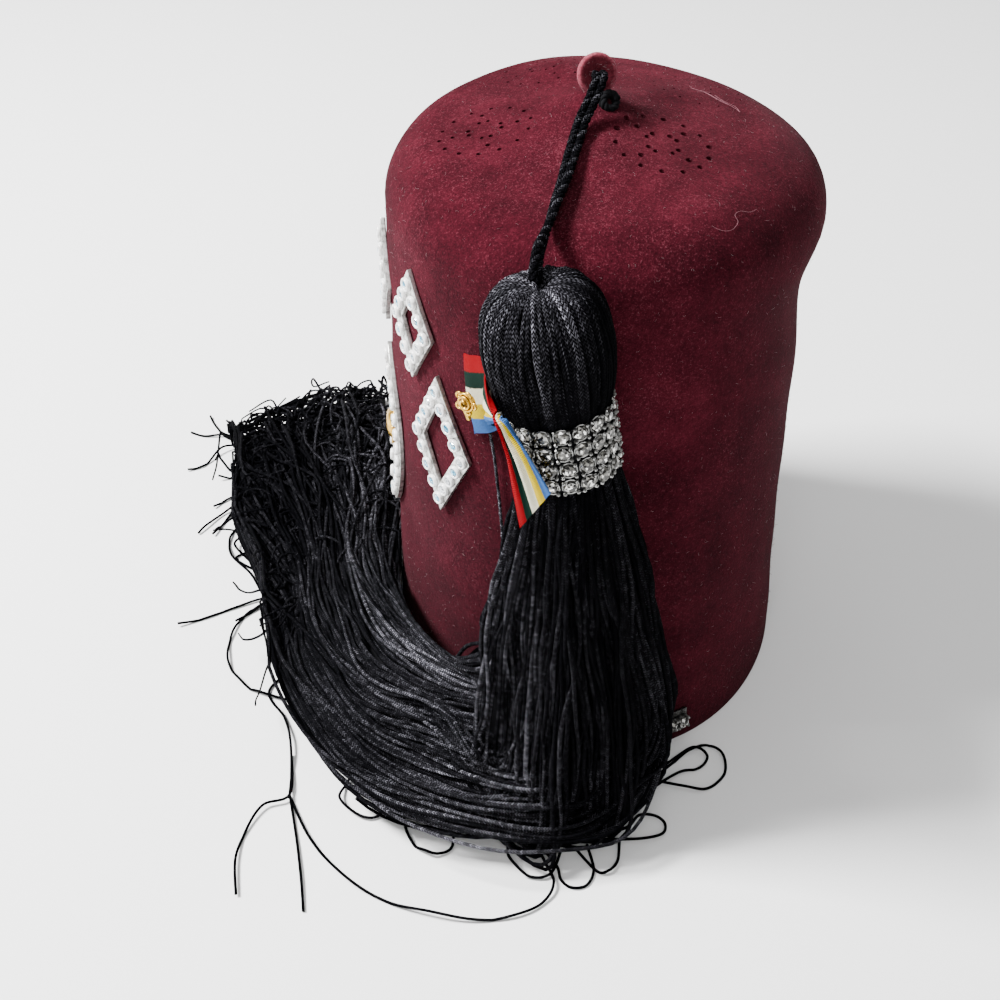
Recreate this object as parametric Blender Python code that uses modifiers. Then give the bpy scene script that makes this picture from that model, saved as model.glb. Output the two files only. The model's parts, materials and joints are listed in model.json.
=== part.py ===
# Tall felt fez with a long corded tassel, standing on its rim.
# Metres, +Z up. The front of the hat faces -X and the tassel hangs on the -Y side.
# Every piece is modelled about the middle of the rim, and the parent empty then puts
# the middle of the whole object's footprint at the origin.

import math

import bmesh
import bpy
from mathutils import Matrix, Vector

# Driving dimensions
RIM_MIDDLE = (0.0442, 0.0056, 0.0)
GAP = 0.0003
FELT = 0.0025
CROWN_HEIGHT = 0.2235
SHOULDER_RADIUS = 0.0175
TOP_RISE = 0.0142
PEAK_ROUNDING = 0.06
CROWN_SIDES = 32
TRIM_BLOCK = (0.240, 0.260, 0.020)
VENT_RADIUS = 0.00075
VENT_SIDES = 4
VENT_CUT = 0.030
NORMAL_STEP = 0.001
BUTTON_RADIUS = 0.0072
BUTTON_THICKNESS = 0.0026
BUTTON_SIDES = 20
BUTTON_EDGE = 0.25
CORD_DIAMETER = 0.0044
HEAD_SIDES = 20
NECK_RADIUS = 0.0160
BAND_HEIGHT = 0.0240
BAND_ROWS = 4
BAND_STONES = 18
BAND_STONE_RADIUS = 0.0028
BAND_THICKNESS = 0.0010
STONE_RADIUS = 0.0026
STONE_HEIGHT = 0.0022
STONE_TABLE = 0.62
PLATE_THICKNESS = 0.0018
PLATE_WIDTH = 0.0058
RIBBON_THICKNESS = 0.0010

# Where the crown's mesh has its rings, as shares of the wall, of the shoulder and of the top
WALL_SHARES = (-0.02, 0.35, 0.62, 0.82, 1.0)
SHOULDER_SHARES = (0.25, 0.5, 0.75, 1.0)
TOP_SHARES = (0.32, 0.62, 0.84)

# The crown's wall, from the rim up to where the shoulder starts to round over
CROWN_SECTIONS = (
    # name, height, half width, half depth
    ("rim", 0.000, 0.0800, 0.0970),
    ("low wall", 0.050, 0.0778, 0.0930),
    ("mid wall", 0.110, 0.0755, 0.0870),
    ("high wall", 0.155, 0.0738, 0.0832),
    ("shoulder", 0.192, 0.0724, 0.0798),
)

# Soft swells and dents of the felt; along is measured up the wall and over the top
CROWN_FOLDS = (
    # name, angle in degrees, along, spread in degrees, spread along, outwards
    ("back shoulder swell", 0.0, 0.190, 42.0, 0.016, 0.0089),
    ("back wall swell", 0.0, 0.128, 40.0, 0.030, 0.0020),
    ("top ridge", 22.0, 0.245, 13.0, 0.018, 0.0016),
    ("back of the top", 97.0, 0.240, 20.0, 0.016, 0.0042),
    ("peak under the button", 0.0, 0.282, 900.0, 0.014, 0.0045),
    ("crease under the cord", -84.0, 0.150, 9.0, 0.045, -0.0014),
    ("near wall swell", -62.0, 0.120, 20.0, 0.060, 0.0010),
    ("front wall hollow", -165.0, 0.090, 24.0, 0.050, -0.0010),
    ("far wall hollow", 95.0, 0.110, 30.0, 0.050, -0.0015),
)

# Vent clusters: each is a ring of holes crossed by four arcs, a quarter turn apart
VENT_CLUSTERS = (
    # name, x, y, turn in degrees
    ("near right", 0.0190, -0.0240, -50.0),
    ("front", -0.0370, -0.0020, 180.0),
    ("far", -0.0110, 0.0440, 100.0),
    ("back", 0.0400, 0.0220, 30.0),
)
VENT_RING_RADIUS = 0.0155
VENT_RING_HOLES = 14
VENT_ARC_RADIUS = VENT_RING_RADIUS / math.sqrt(2)
VENT_ARC_TURNS = (-15.0, 15.0, 45.0)

# The button's middle and the way that its face looks
BUTTON_MIDDLE = (0.0002, -0.0030, 0.2345)
BUTTON_FACING = (0.12, -0.94, 0.30)

# The cord's route over the top and shoulder to the tassel's head, through its own points
CORD_ROUTE = (
    (0.0004, -0.0048, 0.2351),
    (0.0002, -0.0100, 0.2360),
    (-0.0030, -0.0140, 0.2305),
    (-0.0066, -0.0180, 0.2256),
    (-0.0095, -0.0250, 0.2226),
    (-0.0129, -0.0352, 0.2206),
    (-0.0160, -0.0447, 0.2188),
    (-0.0194, -0.0539, 0.2172),
    (-0.0222, -0.0620, 0.2156),
    (-0.0246, -0.0690, 0.2148),
    (-0.0268, -0.0770, 0.2160),
    (-0.0288, -0.0855, 0.2180),
    (-0.0302, -0.0920, 0.2165),
    (-0.0306, -0.0950, 0.2140),
)
CORD_POINTS = 15

# The tassel's head and neck turn about an axis that leans with the hanging tassel
BAND_MIDDLE = (-0.0235, -0.1000, 0.1635)
HEAD_TOP = (-0.0308, -0.0955, 0.2190)
HEAD_PROFILE = (
    # name, radius, height above the band's middle
    ("dimple", 0.0000, 0.0455),
    ("dimple edge", 0.0045, 0.0475),
    ("crown of the head", 0.0095, 0.0510),
    ("upper head", 0.0155, 0.0490),
    ("high shoulder", 0.0193, 0.0420),
    ("widest", 0.0207, 0.0320),
    ("lower head", 0.0200, 0.0225),
    ("under the head", 0.0180, 0.0150),
    ("neck top", NECK_RADIUS, BAND_HEIGHT / 2),
    ("neck bottom", NECK_RADIUS, -BAND_HEIGHT / 2 - 0.0010),
    ("collar", 0.0180, -0.0165),
    ("collar foot", 0.0150, -0.0280),
    ("collar end", 0.0000, -0.0290),
)

# The locks fan out between an inner edge, next to the felt, and an outer edge
SWEEP_STATIONS = (
    # name, inner x, y, z, outer x, y, z, thickness
    ("collar", -0.0330, -0.1000, 0.1480, -0.0140, -0.1020, 0.1480, 0.0240),
    ("skirt top", -0.0370, -0.1010, 0.1200, -0.0080, -0.1050, 0.1200, 0.0250),
    ("skirt", -0.0410, -0.1010, 0.0850, 0.0020, -0.1090, 0.0850, 0.0260),
    ("low skirt", -0.0460, -0.0990, 0.0550, 0.0100, -0.1170, 0.0520, 0.0280),
    ("skirt foot", -0.0540, -0.0940, 0.0440, 0.0060, -0.1290, 0.0270, 0.0300),
    ("turn", -0.0660, -0.0800, 0.0340, -0.0160, -0.1430, 0.0150, 0.0320),
    ("front corner", -0.0770, -0.0560, 0.0300, -0.0600, -0.1390, 0.0150, 0.0330),
    ("corner", -0.0840, -0.0280, 0.0250, -0.0990, -0.1120, 0.0150, 0.0330),
    ("front", -0.0860, 0.0040, 0.0200, -0.1250, -0.0610, 0.0140, 0.0330),
    ("past the front", -0.0860, 0.0420, 0.0160, -0.1380, -0.0020, 0.0130, 0.0310),
    ("fan", -0.0810, 0.0870, 0.0140, -0.1520, 0.0500, 0.0120, 0.0260),
    ("fan end", -0.0760, 0.1400, 0.0080, -0.1730, 0.1050, 0.0070, 0.0140),
)
SWEEP_LOCKS = 5
LOCK_SIDES = 8
LOCK_STATIONS = 12
LOCK_OVERLAP = 1.45
LOCK_END_SHARE = 0.45

# A lock's flat side turns from facing up to facing outwards between these heights
LOCK_FLAT_HEIGHT = 0.035
LOCK_UPRIGHT_HEIGHT = 0.065

# Each lock keeps its own distance from the felt and the surface, in gaps: the first one and the step
SWEEP_CLEARANCES = (3.2, 0.2)
FOOT_CLEARANCES = (3.0, 0.2)

# Short locks that fall from the skirt's right side and end on the surface
FOOT_LOCKS = (
    # name, top, knee, end, width, thickness
    ("back lock", (-0.013, -0.103, 0.137), (0.018, -0.113, 0.050), (0.023, -0.108, 0.006), 0.018, 0.015),
    ("side lock", (-0.015, -0.106, 0.136), (0.009, -0.125, 0.045), (0.004, -0.131, 0.007), 0.020, 0.016),
    ("front lock", (-0.020, -0.109, 0.136), (-0.011, -0.133, 0.044), (-0.020, -0.143, 0.007), 0.024, 0.016),
)

# Shares of a short lock's full width and thickness along it
FOOT_LOCK_SHARES = ((0.6, 0.8), (0.85, 0.95), (1.0, 1.0), (0.95, 0.8), (0.6, 0.5))

# Open lozenges of stones on the front of the crown
LOZENGES = (
    # name, angle in degrees, height of the middle, half width, half height, stones
    ("front_lozenge", 180.0, 0.1650, 0.0092, 0.0156, 12),
    ("near_lozenge_1", -153.5, 0.1650, 0.0092, 0.0156, 12),
    ("near_lozenge_2", -142.5, 0.1245, 0.0115, 0.0225, 16),
    ("far_lozenge_1", 153.5, 0.1650, 0.0092, 0.0156, 12),
    ("far_lozenge_2", 142.5, 0.1245, 0.0115, 0.0225, 16),
)
LOZENGE_BENDS = 12
ROSETTE_ANGLE = 180.0
ROSETTE_MIDDLE = 0.0960
ROSETTE_HALF_WIDTH = 0.0145
ROSETTE_HALF_HEIGHT = 0.0330
ROSETTE_TIP = 0.0045
ROSETTE_POINTEDNESS = 0.35
ROSETTE_STONES = 24
ROSETTE_BENDS = 20
BOSS_RADIUS = 0.0085
BOSS_HEIGHT = 0.0040
BOSS_SIDES = 16
BOSS_FACE_SHARE = 0.6
BAR_STATIONS = 9
BAR_HALF_WIDTH = PLATE_WIDTH / 3
BAR_THICKNESS = PLATE_THICKNESS * 0.8

# A short strip of larger stones along the rim behind the tassel's foot
RIM_STRIP_ANGLES = (-84.0, -70.0)
RIM_STRIP_HEIGHT = 0.0110
RIM_STRIP_WIDTH = 0.0110
RIM_STONE_RADIUS = 0.0028
RIM_STONES = 4
RIM_STATIONS = 5

# The ribbon's red and blue edges, from the back of its pinned loop to the cut end of its tail
RIBBON_EDGES = (
    # name, red edge x, y, z, blue edge x, y, z
    ("back layer end", -0.0462, -0.0644, 0.1682, -0.0465, -0.0662, 0.1432),
    ("back layer", -0.0498, -0.0611, 0.1671, -0.0507, -0.0625, 0.1404),
    ("left fold back", -0.0523, -0.0590, 0.1663, -0.0536, -0.0599, 0.1387),
    ("left fold", -0.0536, -0.0601, 0.1666, -0.0549, -0.0610, 0.1390),
    ("left fold front", -0.0523, -0.0637, 0.1687, -0.0536, -0.0646, 0.1410),
    ("front layer", -0.0482, -0.0684, 0.1722, -0.0494, -0.0698, 0.1444),
    ("front layer right", -0.0448, -0.0740, 0.1740, -0.0451, -0.0760, 0.1500),
    ("beside the head", -0.0458, -0.0845, 0.1760, -0.0459, -0.0865, 0.1580),
    ("left of the head", -0.0462, -0.0950, 0.1795, -0.0462, -0.0970, 0.1660),
    ("gather", -0.0458, -0.1065, 0.1820, -0.0448, -0.1085, 0.1755),
    ("pinch", -0.0445, -0.1125, 0.1790, -0.0422, -0.1160, 0.1820),
    ("over the neck", -0.0428, -0.1130, 0.1715, -0.0394, -0.1168, 0.1775),
    ("over the band", -0.0415, -0.1145, 0.1645, -0.0359, -0.1193, 0.1722),
    ("low band", -0.0403, -0.1155, 0.1555, -0.0324, -0.1212, 0.1655),
    ("cut end", -0.0382, -0.1175, 0.1415, -0.0293, -0.1225, 0.1590),
)
PIN_MIDDLE = (-0.0520, -0.0713, 0.1550)
PIN_FACING = (-0.69, -0.72, 0.06)
PIN_RADIUS = 0.0042
PIN_LENGTH = 0.0030
PIN_SIDES = 12
PIN_FACE_SHARE = 0.6

# Lengths along the crown's profile, from the rim over the shoulder to the middle of the top
WALL_HEIGHT = CROWN_HEIGHT - TOP_RISE - SHOULDER_RADIUS
SHOULDER_END = WALL_HEIGHT + SHOULDER_RADIUS * math.pi / 2
TOP_HALF_DEPTH = CROWN_SECTIONS[-1][3] - SHOULDER_RADIUS
PROFILE_LENGTH = SHOULDER_END + TOP_HALF_DEPTH


def clear_scene():
    for item in list(bpy.data.objects):
        bpy.data.objects.remove(item, do_unlink=True)


def make_collection(name):
    collection = bpy.data.collections.new(name)
    bpy.context.scene.collection.children.link(collection)
    return collection


def make_material(name, colour, roughness, metallic=0.0):
    material = bpy.data.materials.new(name)
    material.use_nodes = True
    shader = material.node_tree.nodes["Principled BSDF"]
    shader.inputs["Base Color"].default_value = (*colour, 1.0)
    shader.inputs["Roughness"].default_value = roughness
    shader.inputs["Metallic"].default_value = metallic
    return material


def interpolate(rows, value, column):
    # Straight-line reading of a column of numbers against the rows' second column
    for low, high in zip(rows, rows[1:]):
        if value <= high[1]:
            share = (value - low[1]) / (high[1] - low[1])
            return low[column] + (high[column] - low[column]) * share
    return rows[-1][column]


def smooth_route(points, count):
    # Points evenly spread in parameter along a smooth curve through the given points
    points = [Vector(point) for point in points]
    spans = len(points) - 1
    route = []
    for step in range(count):
        place = step * spans / (count - 1)
        index = min(int(place), spans - 1)
        t = place - index
        before = points[max(index - 1, 0)]
        start = points[index]
        end = points[index + 1]
        after = points[min(index + 2, spans)]
        tangent_in = (end - before) / 2
        tangent_out = (after - start) / 2
        route.append(
            start * (2 * t**3 - 3 * t**2 + 1)
            + tangent_in * (t**3 - 2 * t**2 + t)
            + end * (3 * t**2 - 2 * t**3)
            + tangent_out * (t**3 - t**2)
        )
    return route


# Shape of the crown


def plain_crown(angle, along):
    # The crown without folds: an upright oval wall, a round shoulder and a low domed top
    half_width = interpolate(CROWN_SECTIONS, min(along, WALL_HEIGHT), 2)
    half_depth = interpolate(CROWN_SECTIONS, min(along, WALL_HEIGHT), 3)
    height = min(along, WALL_HEIGHT)
    if along > WALL_HEIGHT:
        turn = min((along - WALL_HEIGHT) / SHOULDER_RADIUS, math.pi / 2)
        inset = SHOULDER_RADIUS * (1 - math.cos(turn))
        reach = 1.0
        if along > SHOULDER_END:
            reach = max(1 - (along - SHOULDER_END) / TOP_HALF_DEPTH, 0.0)
        x = (half_width - inset) * reach * math.cos(angle)
        y = (half_depth - inset) * reach * math.sin(angle)
        distance = math.hypot(x / half_width, y / half_depth)
        rise = TOP_RISE * (1 - math.hypot(distance, PEAK_ROUNDING) + PEAK_ROUNDING) * math.sin(turn)
        return Vector((x, y, height + SHOULDER_RADIUS * math.sin(turn) + rise))
    return Vector((half_width * math.cos(angle), half_depth * math.sin(angle), height))


def crown_normal(angle, along):
    along = min(along, PROFILE_LENGTH - 3 * NORMAL_STEP)
    across = plain_crown(angle + NORMAL_STEP, along) - plain_crown(angle - NORMAL_STEP, along)
    upward = plain_crown(angle, along + NORMAL_STEP) - plain_crown(angle, max(along - NORMAL_STEP, 0.0))
    return across.cross(upward).normalized()


def fold_depth(angle, along):
    depth = 0.0
    for _, fold_angle, fold_along, spread, spread_along, outwards in CROWN_FOLDS:
        turn = math.degrees(angle) - fold_angle
        turn = (turn + 180.0) % 360.0 - 180.0
        depth += outwards * math.exp(-((turn / spread) ** 2) - ((along - fold_along) / spread_along) ** 2)
    return depth


def crown_point(angle, along, out=0.0):
    normal = crown_normal(angle, along)
    return plain_crown(angle, along) + normal * (out + fold_depth(angle, along))


def clear_of_crown(point, clearance):
    # Moves a point straight out from the upright axis until it clears the wall
    height = min(max(point.z, 0.0), WALL_HEIGHT)
    half_width = interpolate(CROWN_SECTIONS, height, 2) + clearance
    half_depth = interpolate(CROWN_SECTIONS, height, 3) + clearance
    reach = math.hypot(point.x / half_width, point.y / half_depth)
    if reach >= 1.0 or point.z > WALL_HEIGHT:
        return point
    return Vector((point.x / reach, point.y / reach, point.z))


# Meshes


def loft(name, rings, closed=False):
    # Skin between rings of equal count; open runs get a flat cap at each end
    bm = bmesh.new()
    rows = [[bm.verts.new(point) for point in ring] for ring in rings]
    pairs = list(zip(rows, rows[1:]))
    if closed:
        pairs.append((rows[-1], rows[0]))
    for low, high in pairs:
        for i in range(len(low)):
            j = (i + 1) % len(low)
            bm.faces.new((low[i], low[j], high[j], high[i]))
    if not closed:
        bm.faces.new(list(reversed(rows[0])))
        bm.faces.new(rows[-1])
    bmesh.ops.recalc_face_normals(bm, faces=bm.faces)
    mesh = bpy.data.meshes.new(name)
    bm.to_mesh(mesh)
    bm.free()
    return mesh


def add_object(name, mesh, collection, root, material=None):
    item = bpy.data.objects.new(name, mesh)
    collection.objects.link(item)
    item.parent = root
    if material:
        mesh.materials.clear()
        mesh.materials.append(material)
    return item


def plain_mesh(item):
    # The object's mesh with its modifiers applied; the object itself goes
    bpy.context.view_layer.update()
    seen = item.evaluated_get(bpy.context.evaluated_depsgraph_get())
    mesh = bpy.data.meshes.new_from_object(seen)
    bpy.data.objects.remove(item, do_unlink=True)
    return mesh


def largest_shell(mesh):
    # Keeps the outermost skin of a fused mesh, and drops any pocket sealed inside it
    bm = bmesh.new()
    bm.from_mesh(mesh)
    waiting = set(bm.verts)
    shells = []
    while waiting:
        edge_of = [waiting.pop()]
        shell = set(edge_of)
        while edge_of:
            vert = edge_of.pop()
            for edge in vert.link_edges:
                other = edge.other_vert(vert)
                if other in waiting:
                    waiting.remove(other)
                    shell.add(other)
                    edge_of.append(other)
        shells.append(shell)
    shells.sort(key=len)
    spare = [vert for shell in shells[:-1] for vert in shell]
    bmesh.ops.delete(bm, geom=spare, context="VERTS")
    bm.to_mesh(mesh)
    bm.free()
    return mesh


def fuse(name, meshes):
    # Boolean union of closed meshes into one body
    scene = bpy.context.scene.collection
    base = bpy.data.objects.new(name, meshes[0])
    scene.objects.link(base)
    others = bpy.data.collections.new(name + "_joined")
    for mesh in meshes[1:]:
        others.objects.link(bpy.data.objects.new(name + "_piece", mesh))
    join = base.modifiers.new("join", "BOOLEAN")
    join.operation = "UNION"
    join.solver = "EXACT"
    join.operand_type = "COLLECTION"
    join.collection = others
    mesh = plain_mesh(base)
    for item in list(others.objects):
        bpy.data.objects.remove(item, do_unlink=True)
    bpy.data.collections.remove(others)
    return largest_shell(mesh)


def smooth_shade(mesh, angle=35.0):
    mesh.shade_smooth()
    mesh.set_sharp_from_angle(angle=math.radians(angle))


# Crown


def crown_shell():
    wall_steps = [WALL_HEIGHT * share for share in WALL_SHARES]
    shoulder_steps = [WALL_HEIGHT + (SHOULDER_END - WALL_HEIGHT) * share for share in SHOULDER_SHARES]
    top_steps = [SHOULDER_END + TOP_HALF_DEPTH * share for share in TOP_SHARES]
    bm = bmesh.new()
    rows = []
    for along in wall_steps + shoulder_steps + top_steps:
        row = []
        for side in range(CROWN_SIDES):
            row.append(bm.verts.new(crown_point(2 * math.pi * side / CROWN_SIDES, along)))
        rows.append(row)
    for low, high in zip(rows, rows[1:]):
        for i in range(CROWN_SIDES):
            j = (i + 1) % CROWN_SIDES
            bm.faces.new((low[i], low[j], high[j], high[i]))
    lift = Vector((0.0, 0.0, fold_depth(0.0, PROFILE_LENGTH)))
    middle = bm.verts.new(plain_crown(0.0, PROFILE_LENGTH) + lift)
    for i in range(CROWN_SIDES):
        bm.faces.new((rows[-1][i], rows[-1][(i + 1) % CROWN_SIDES], middle))
    mesh = bpy.data.meshes.new("crown")
    bm.to_mesh(mesh)
    bm.free()
    return mesh


def vent_places():
    # Plan positions of the holes about a cluster's middle, +X pointing out from the hat's middle
    places = []
    for hole in range(VENT_RING_HOLES):
        turn = 2 * math.pi * hole / VENT_RING_HOLES
        places.append((VENT_RING_RADIUS * math.cos(turn), VENT_RING_RADIUS * math.sin(turn)))
    for quarter in range(4):
        facing = math.radians(90.0 * quarter + 45.0)
        for arc_turn in VENT_ARC_TURNS:
            turn = facing + math.pi + math.radians(arc_turn)
            x = VENT_RING_RADIUS * math.cos(facing) + VENT_ARC_RADIUS * math.cos(turn)
            y = VENT_RING_RADIUS * math.sin(facing) + VENT_ARC_RADIUS * math.sin(turn)
            places.append((x, y))
    return places


def crown_cutter():
    # The vent holes, and a block that trims the rim flat where the hat stands
    bm = bmesh.new()
    block = Matrix.Translation((0.0, 0.0, -TRIM_BLOCK[2] / 2)) @ Matrix.Diagonal((*TRIM_BLOCK, 1.0))
    bmesh.ops.create_cube(bm, size=1.0, matrix=block)
    for _, middle_x, middle_y, angle in VENT_CLUSTERS:
        turn = Matrix.Rotation(math.radians(angle), 4, "Z")
        for x, y in vent_places():
            place = turn @ Vector((x, y, 0.0)) + Vector((middle_x, middle_y, CROWN_HEIGHT - TOP_RISE))
            bmesh.ops.create_cone(
                bm,
                cap_ends=True,
                segments=VENT_SIDES,
                radius1=VENT_RADIUS,
                radius2=VENT_RADIUS,
                depth=VENT_CUT,
                matrix=Matrix.Translation(place),
            )
    mesh = bpy.data.meshes.new("crown_cutter")
    bm.to_mesh(mesh)
    bm.free()
    return mesh


def make_crown(parts, cutters, root):
    felt = make_material("maroon_felt", (0.16, 0.022, 0.036), 0.92)
    crown = add_object("crown", crown_shell(), parts, root, felt)
    wall = crown.modifiers.new("felt", "SOLIDIFY")
    wall.thickness = FELT
    wall.offset = -1.0
    wall.use_even_offset = True
    cutter = add_object("crown_cutter", crown_cutter(), cutters, root)
    cutter.hide_render = True
    cutter.display_type = "WIRE"
    cuts = crown.modifiers.new("vents and flat rim", "BOOLEAN")
    cuts.operation = "DIFFERENCE"
    cuts.solver = "EXACT"
    cuts.object = cutter
    smooth_shade(crown.data)


# Button and cord


def make_button(parts, root):
    bm = bmesh.new()
    bmesh.ops.create_cone(
        bm,
        cap_ends=True,
        segments=BUTTON_SIDES,
        radius1=BUTTON_RADIUS,
        radius2=BUTTON_RADIUS,
        depth=BUTTON_THICKNESS,
    )
    mesh = bpy.data.meshes.new("button")
    bm.to_mesh(mesh)
    bm.free()
    felt = make_material("button_felt", (0.12, 0.024, 0.036), 0.95)
    button = add_object("button", mesh, parts, root, felt)
    button.location = BUTTON_MIDDLE
    button.rotation_euler = Vector(BUTTON_FACING).to_track_quat("Z", "Y").to_euler()
    edge = button.modifiers.new("soft edge", "BEVEL")
    edge.width = BUTTON_THICKNESS * BUTTON_EDGE
    edge.segments = 1
    smooth_shade(mesh)


def make_cord(parts, root):
    curve = bpy.data.curves.new("tassel_cord", "CURVE")
    curve.dimensions = "3D"
    curve.bevel_depth = CORD_DIAMETER / 2
    curve.bevel_resolution = 2
    curve.use_fill_caps = True
    spline = curve.splines.new("POLY")
    route = smooth_route(CORD_ROUTE, CORD_POINTS)
    spline.points.add(len(route) - 1)
    for point, place in zip(spline.points, route):
        point.co = (*place, 1.0)
    curve.materials.append(make_material("black_cord", (0.012, 0.012, 0.014), 0.7))
    cord = bpy.data.objects.new("tassel_cord", curve)
    parts.objects.link(cord)
    cord.parent = root


# Tassel


def tassel_frame():
    # Upright frame of the tassel's head: origin at the band's middle, +Z up the head
    axis = (Vector(HEAD_TOP) - Vector(BAND_MIDDLE)).normalized()
    turn = axis.to_track_quat("Z", "X").to_matrix().to_4x4()
    return Matrix.Translation(BAND_MIDDLE) @ turn


def turned_mesh(name, profile, sides, frame):
    # A profile from the axis out and back to it, turned about the frame's own +Z
    mesh = bpy.data.meshes.new(name)
    points = [(radius, 0.0, height) for _, radius, height in profile]
    mesh.from_pydata(points, [(i, i + 1) for i in range(len(points) - 1)], [])
    item = bpy.data.objects.new(name, mesh)
    bpy.context.scene.collection.objects.link(item)
    turn = item.modifiers.new("turn", "SCREW")
    turn.steps = sides
    turn.render_steps = sides
    turn.use_merge_vertices = True
    turn.merge_threshold = 0.00001
    solid = plain_mesh(item)
    bm = bmesh.new()
    bm.from_mesh(solid)
    bmesh.ops.remove_doubles(bm, verts=bm.verts, dist=0.00001)
    bmesh.ops.transform(bm, matrix=frame, verts=bm.verts)
    bmesh.ops.recalc_face_normals(bm, faces=bm.faces)
    bm.to_mesh(solid)
    bm.free()
    return solid


def lock_mesh(name, route, widths, thicknesses, clearance):
    # A lock of cords: an oval section carried along a route, flat where it lies and beside the felt
    rings = []
    for index, place in enumerate(route):
        ahead = route[min(index + 1, len(route) - 1)] - route[max(index - 1, 0)]
        ahead.normalize()
        outward = Vector((place.x, place.y, 0.0)).normalized()
        upright = (place.z - LOCK_FLAT_HEIGHT) / (LOCK_UPRIGHT_HEIGHT - LOCK_FLAT_HEIGHT)
        upright = min(max(upright, 0.0), 1.0)
        face = (outward * upright + Vector((0.0, 0.0, 1.0)) * (1 - upright)).normalized()
        side = ahead.cross(face).normalized()
        face = side.cross(ahead).normalized()
        half_width = widths[index] / 2
        half_depth = thicknesses[index] / 2
        ring = []
        for corner in range(LOCK_SIDES):
            turn = 2 * math.pi * corner / LOCK_SIDES
            point = place + side * half_width * math.cos(turn) + face * half_depth * math.sin(turn)
            point = clear_of_crown(point, clearance)
            point.z = max(point.z, clearance - GAP)
            ring.append(point)
        rings.append(ring)
    return loft(name, rings)


def read_evenly(values, count):
    # A list of numbers read again at a new count of even steps
    read = []
    for step in range(count):
        place = step * (len(values) - 1) / (count - 1)
        index = min(int(place), len(values) - 2)
        read.append(values[index] + (values[index + 1] - values[index]) * (place - index))
    return read


def sweep_lock(index):
    share = (index + 0.5) / SWEEP_LOCKS
    middles = []
    spans = []
    depths = []
    for _, ix, iy, iz, ox, oy, oz, thickness in SWEEP_STATIONS:
        inner = Vector((ix, iy, iz))
        outer = Vector((ox, oy, oz))
        middles.append(inner.lerp(outer, share))
        spans.append((outer - inner).length / SWEEP_LOCKS * LOCK_OVERLAP)
        depths.append(thickness)
    route = smooth_route(middles, LOCK_STATIONS)
    widths = read_evenly(spans, LOCK_STATIONS)
    widths[-1] *= LOCK_END_SHARE
    thicknesses = read_evenly(depths, LOCK_STATIONS)
    first, step = SWEEP_CLEARANCES
    return lock_mesh(f"sweep_{index}", route, widths, thicknesses, GAP * (first + step * index))


def foot_lock(index, row):
    name, top, knee, end, width, thickness = row
    route = smooth_route((top, knee, end), len(FOOT_LOCK_SHARES))
    widths = [width * share for share, _ in FOOT_LOCK_SHARES]
    depths = [thickness * share for _, share in FOOT_LOCK_SHARES]
    first, step = FOOT_CLEARANCES
    return lock_mesh(name, route, widths, depths, GAP * (first + step * index))


def make_tassel(parts, root):
    pieces = [turned_mesh("head", HEAD_PROFILE, HEAD_SIDES, tassel_frame())]
    pieces += [sweep_lock(index) for index in range(SWEEP_LOCKS)]
    pieces += [foot_lock(index, row) for index, row in enumerate(FOOT_LOCKS)]
    mesh = fuse("tassel", pieces)
    smooth_shade(mesh, 50.0)
    add_object("tassel", mesh, parts, root, make_material("black_chainette", (0.010, 0.010, 0.012), 0.65))


# Stones


def stone_mesh(middle, normal, along, radius, height, sink):
    # Octagonal base, eight sloping facets and a square table
    normal = normal.normalized()
    across = normal.cross(along).normalized()
    along = across.cross(normal)
    bm = bmesh.new()
    base = []
    for corner in range(8):
        turn = math.radians(45.0 * corner + 22.5)
        spoke = along * math.cos(turn) + across * math.sin(turn)
        base.append(bm.verts.new(middle + spoke * radius - normal * sink))
    table = []
    for corner in range(4):
        turn = math.radians(90.0 * corner + 45.0)
        spoke = along * math.cos(turn) + across * math.sin(turn)
        table.append(bm.verts.new(middle + spoke * radius * STONE_TABLE + normal * height))
    for corner in range(4):
        first, second, third = base[2 * corner], base[2 * corner + 1], base[(2 * corner + 2) % 8]
        bm.faces.new((first, second, table[corner]))
        bm.faces.new((second, third, table[(corner + 1) % 4], table[corner]))
    bm.faces.new(table)
    bm.faces.new(list(reversed(base)))
    bmesh.ops.recalc_face_normals(bm, faces=bm.faces)
    mesh = bpy.data.meshes.new("stone")
    bm.to_mesh(mesh)
    bm.free()
    return mesh


def joined(name, meshes):
    # Separate closed pieces in one mesh
    bm = bmesh.new()
    for mesh in meshes:
        bm.from_mesh(mesh)
        bpy.data.meshes.remove(mesh)
    result = bpy.data.meshes.new(name)
    bm.to_mesh(result)
    bm.free()
    return result


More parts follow.
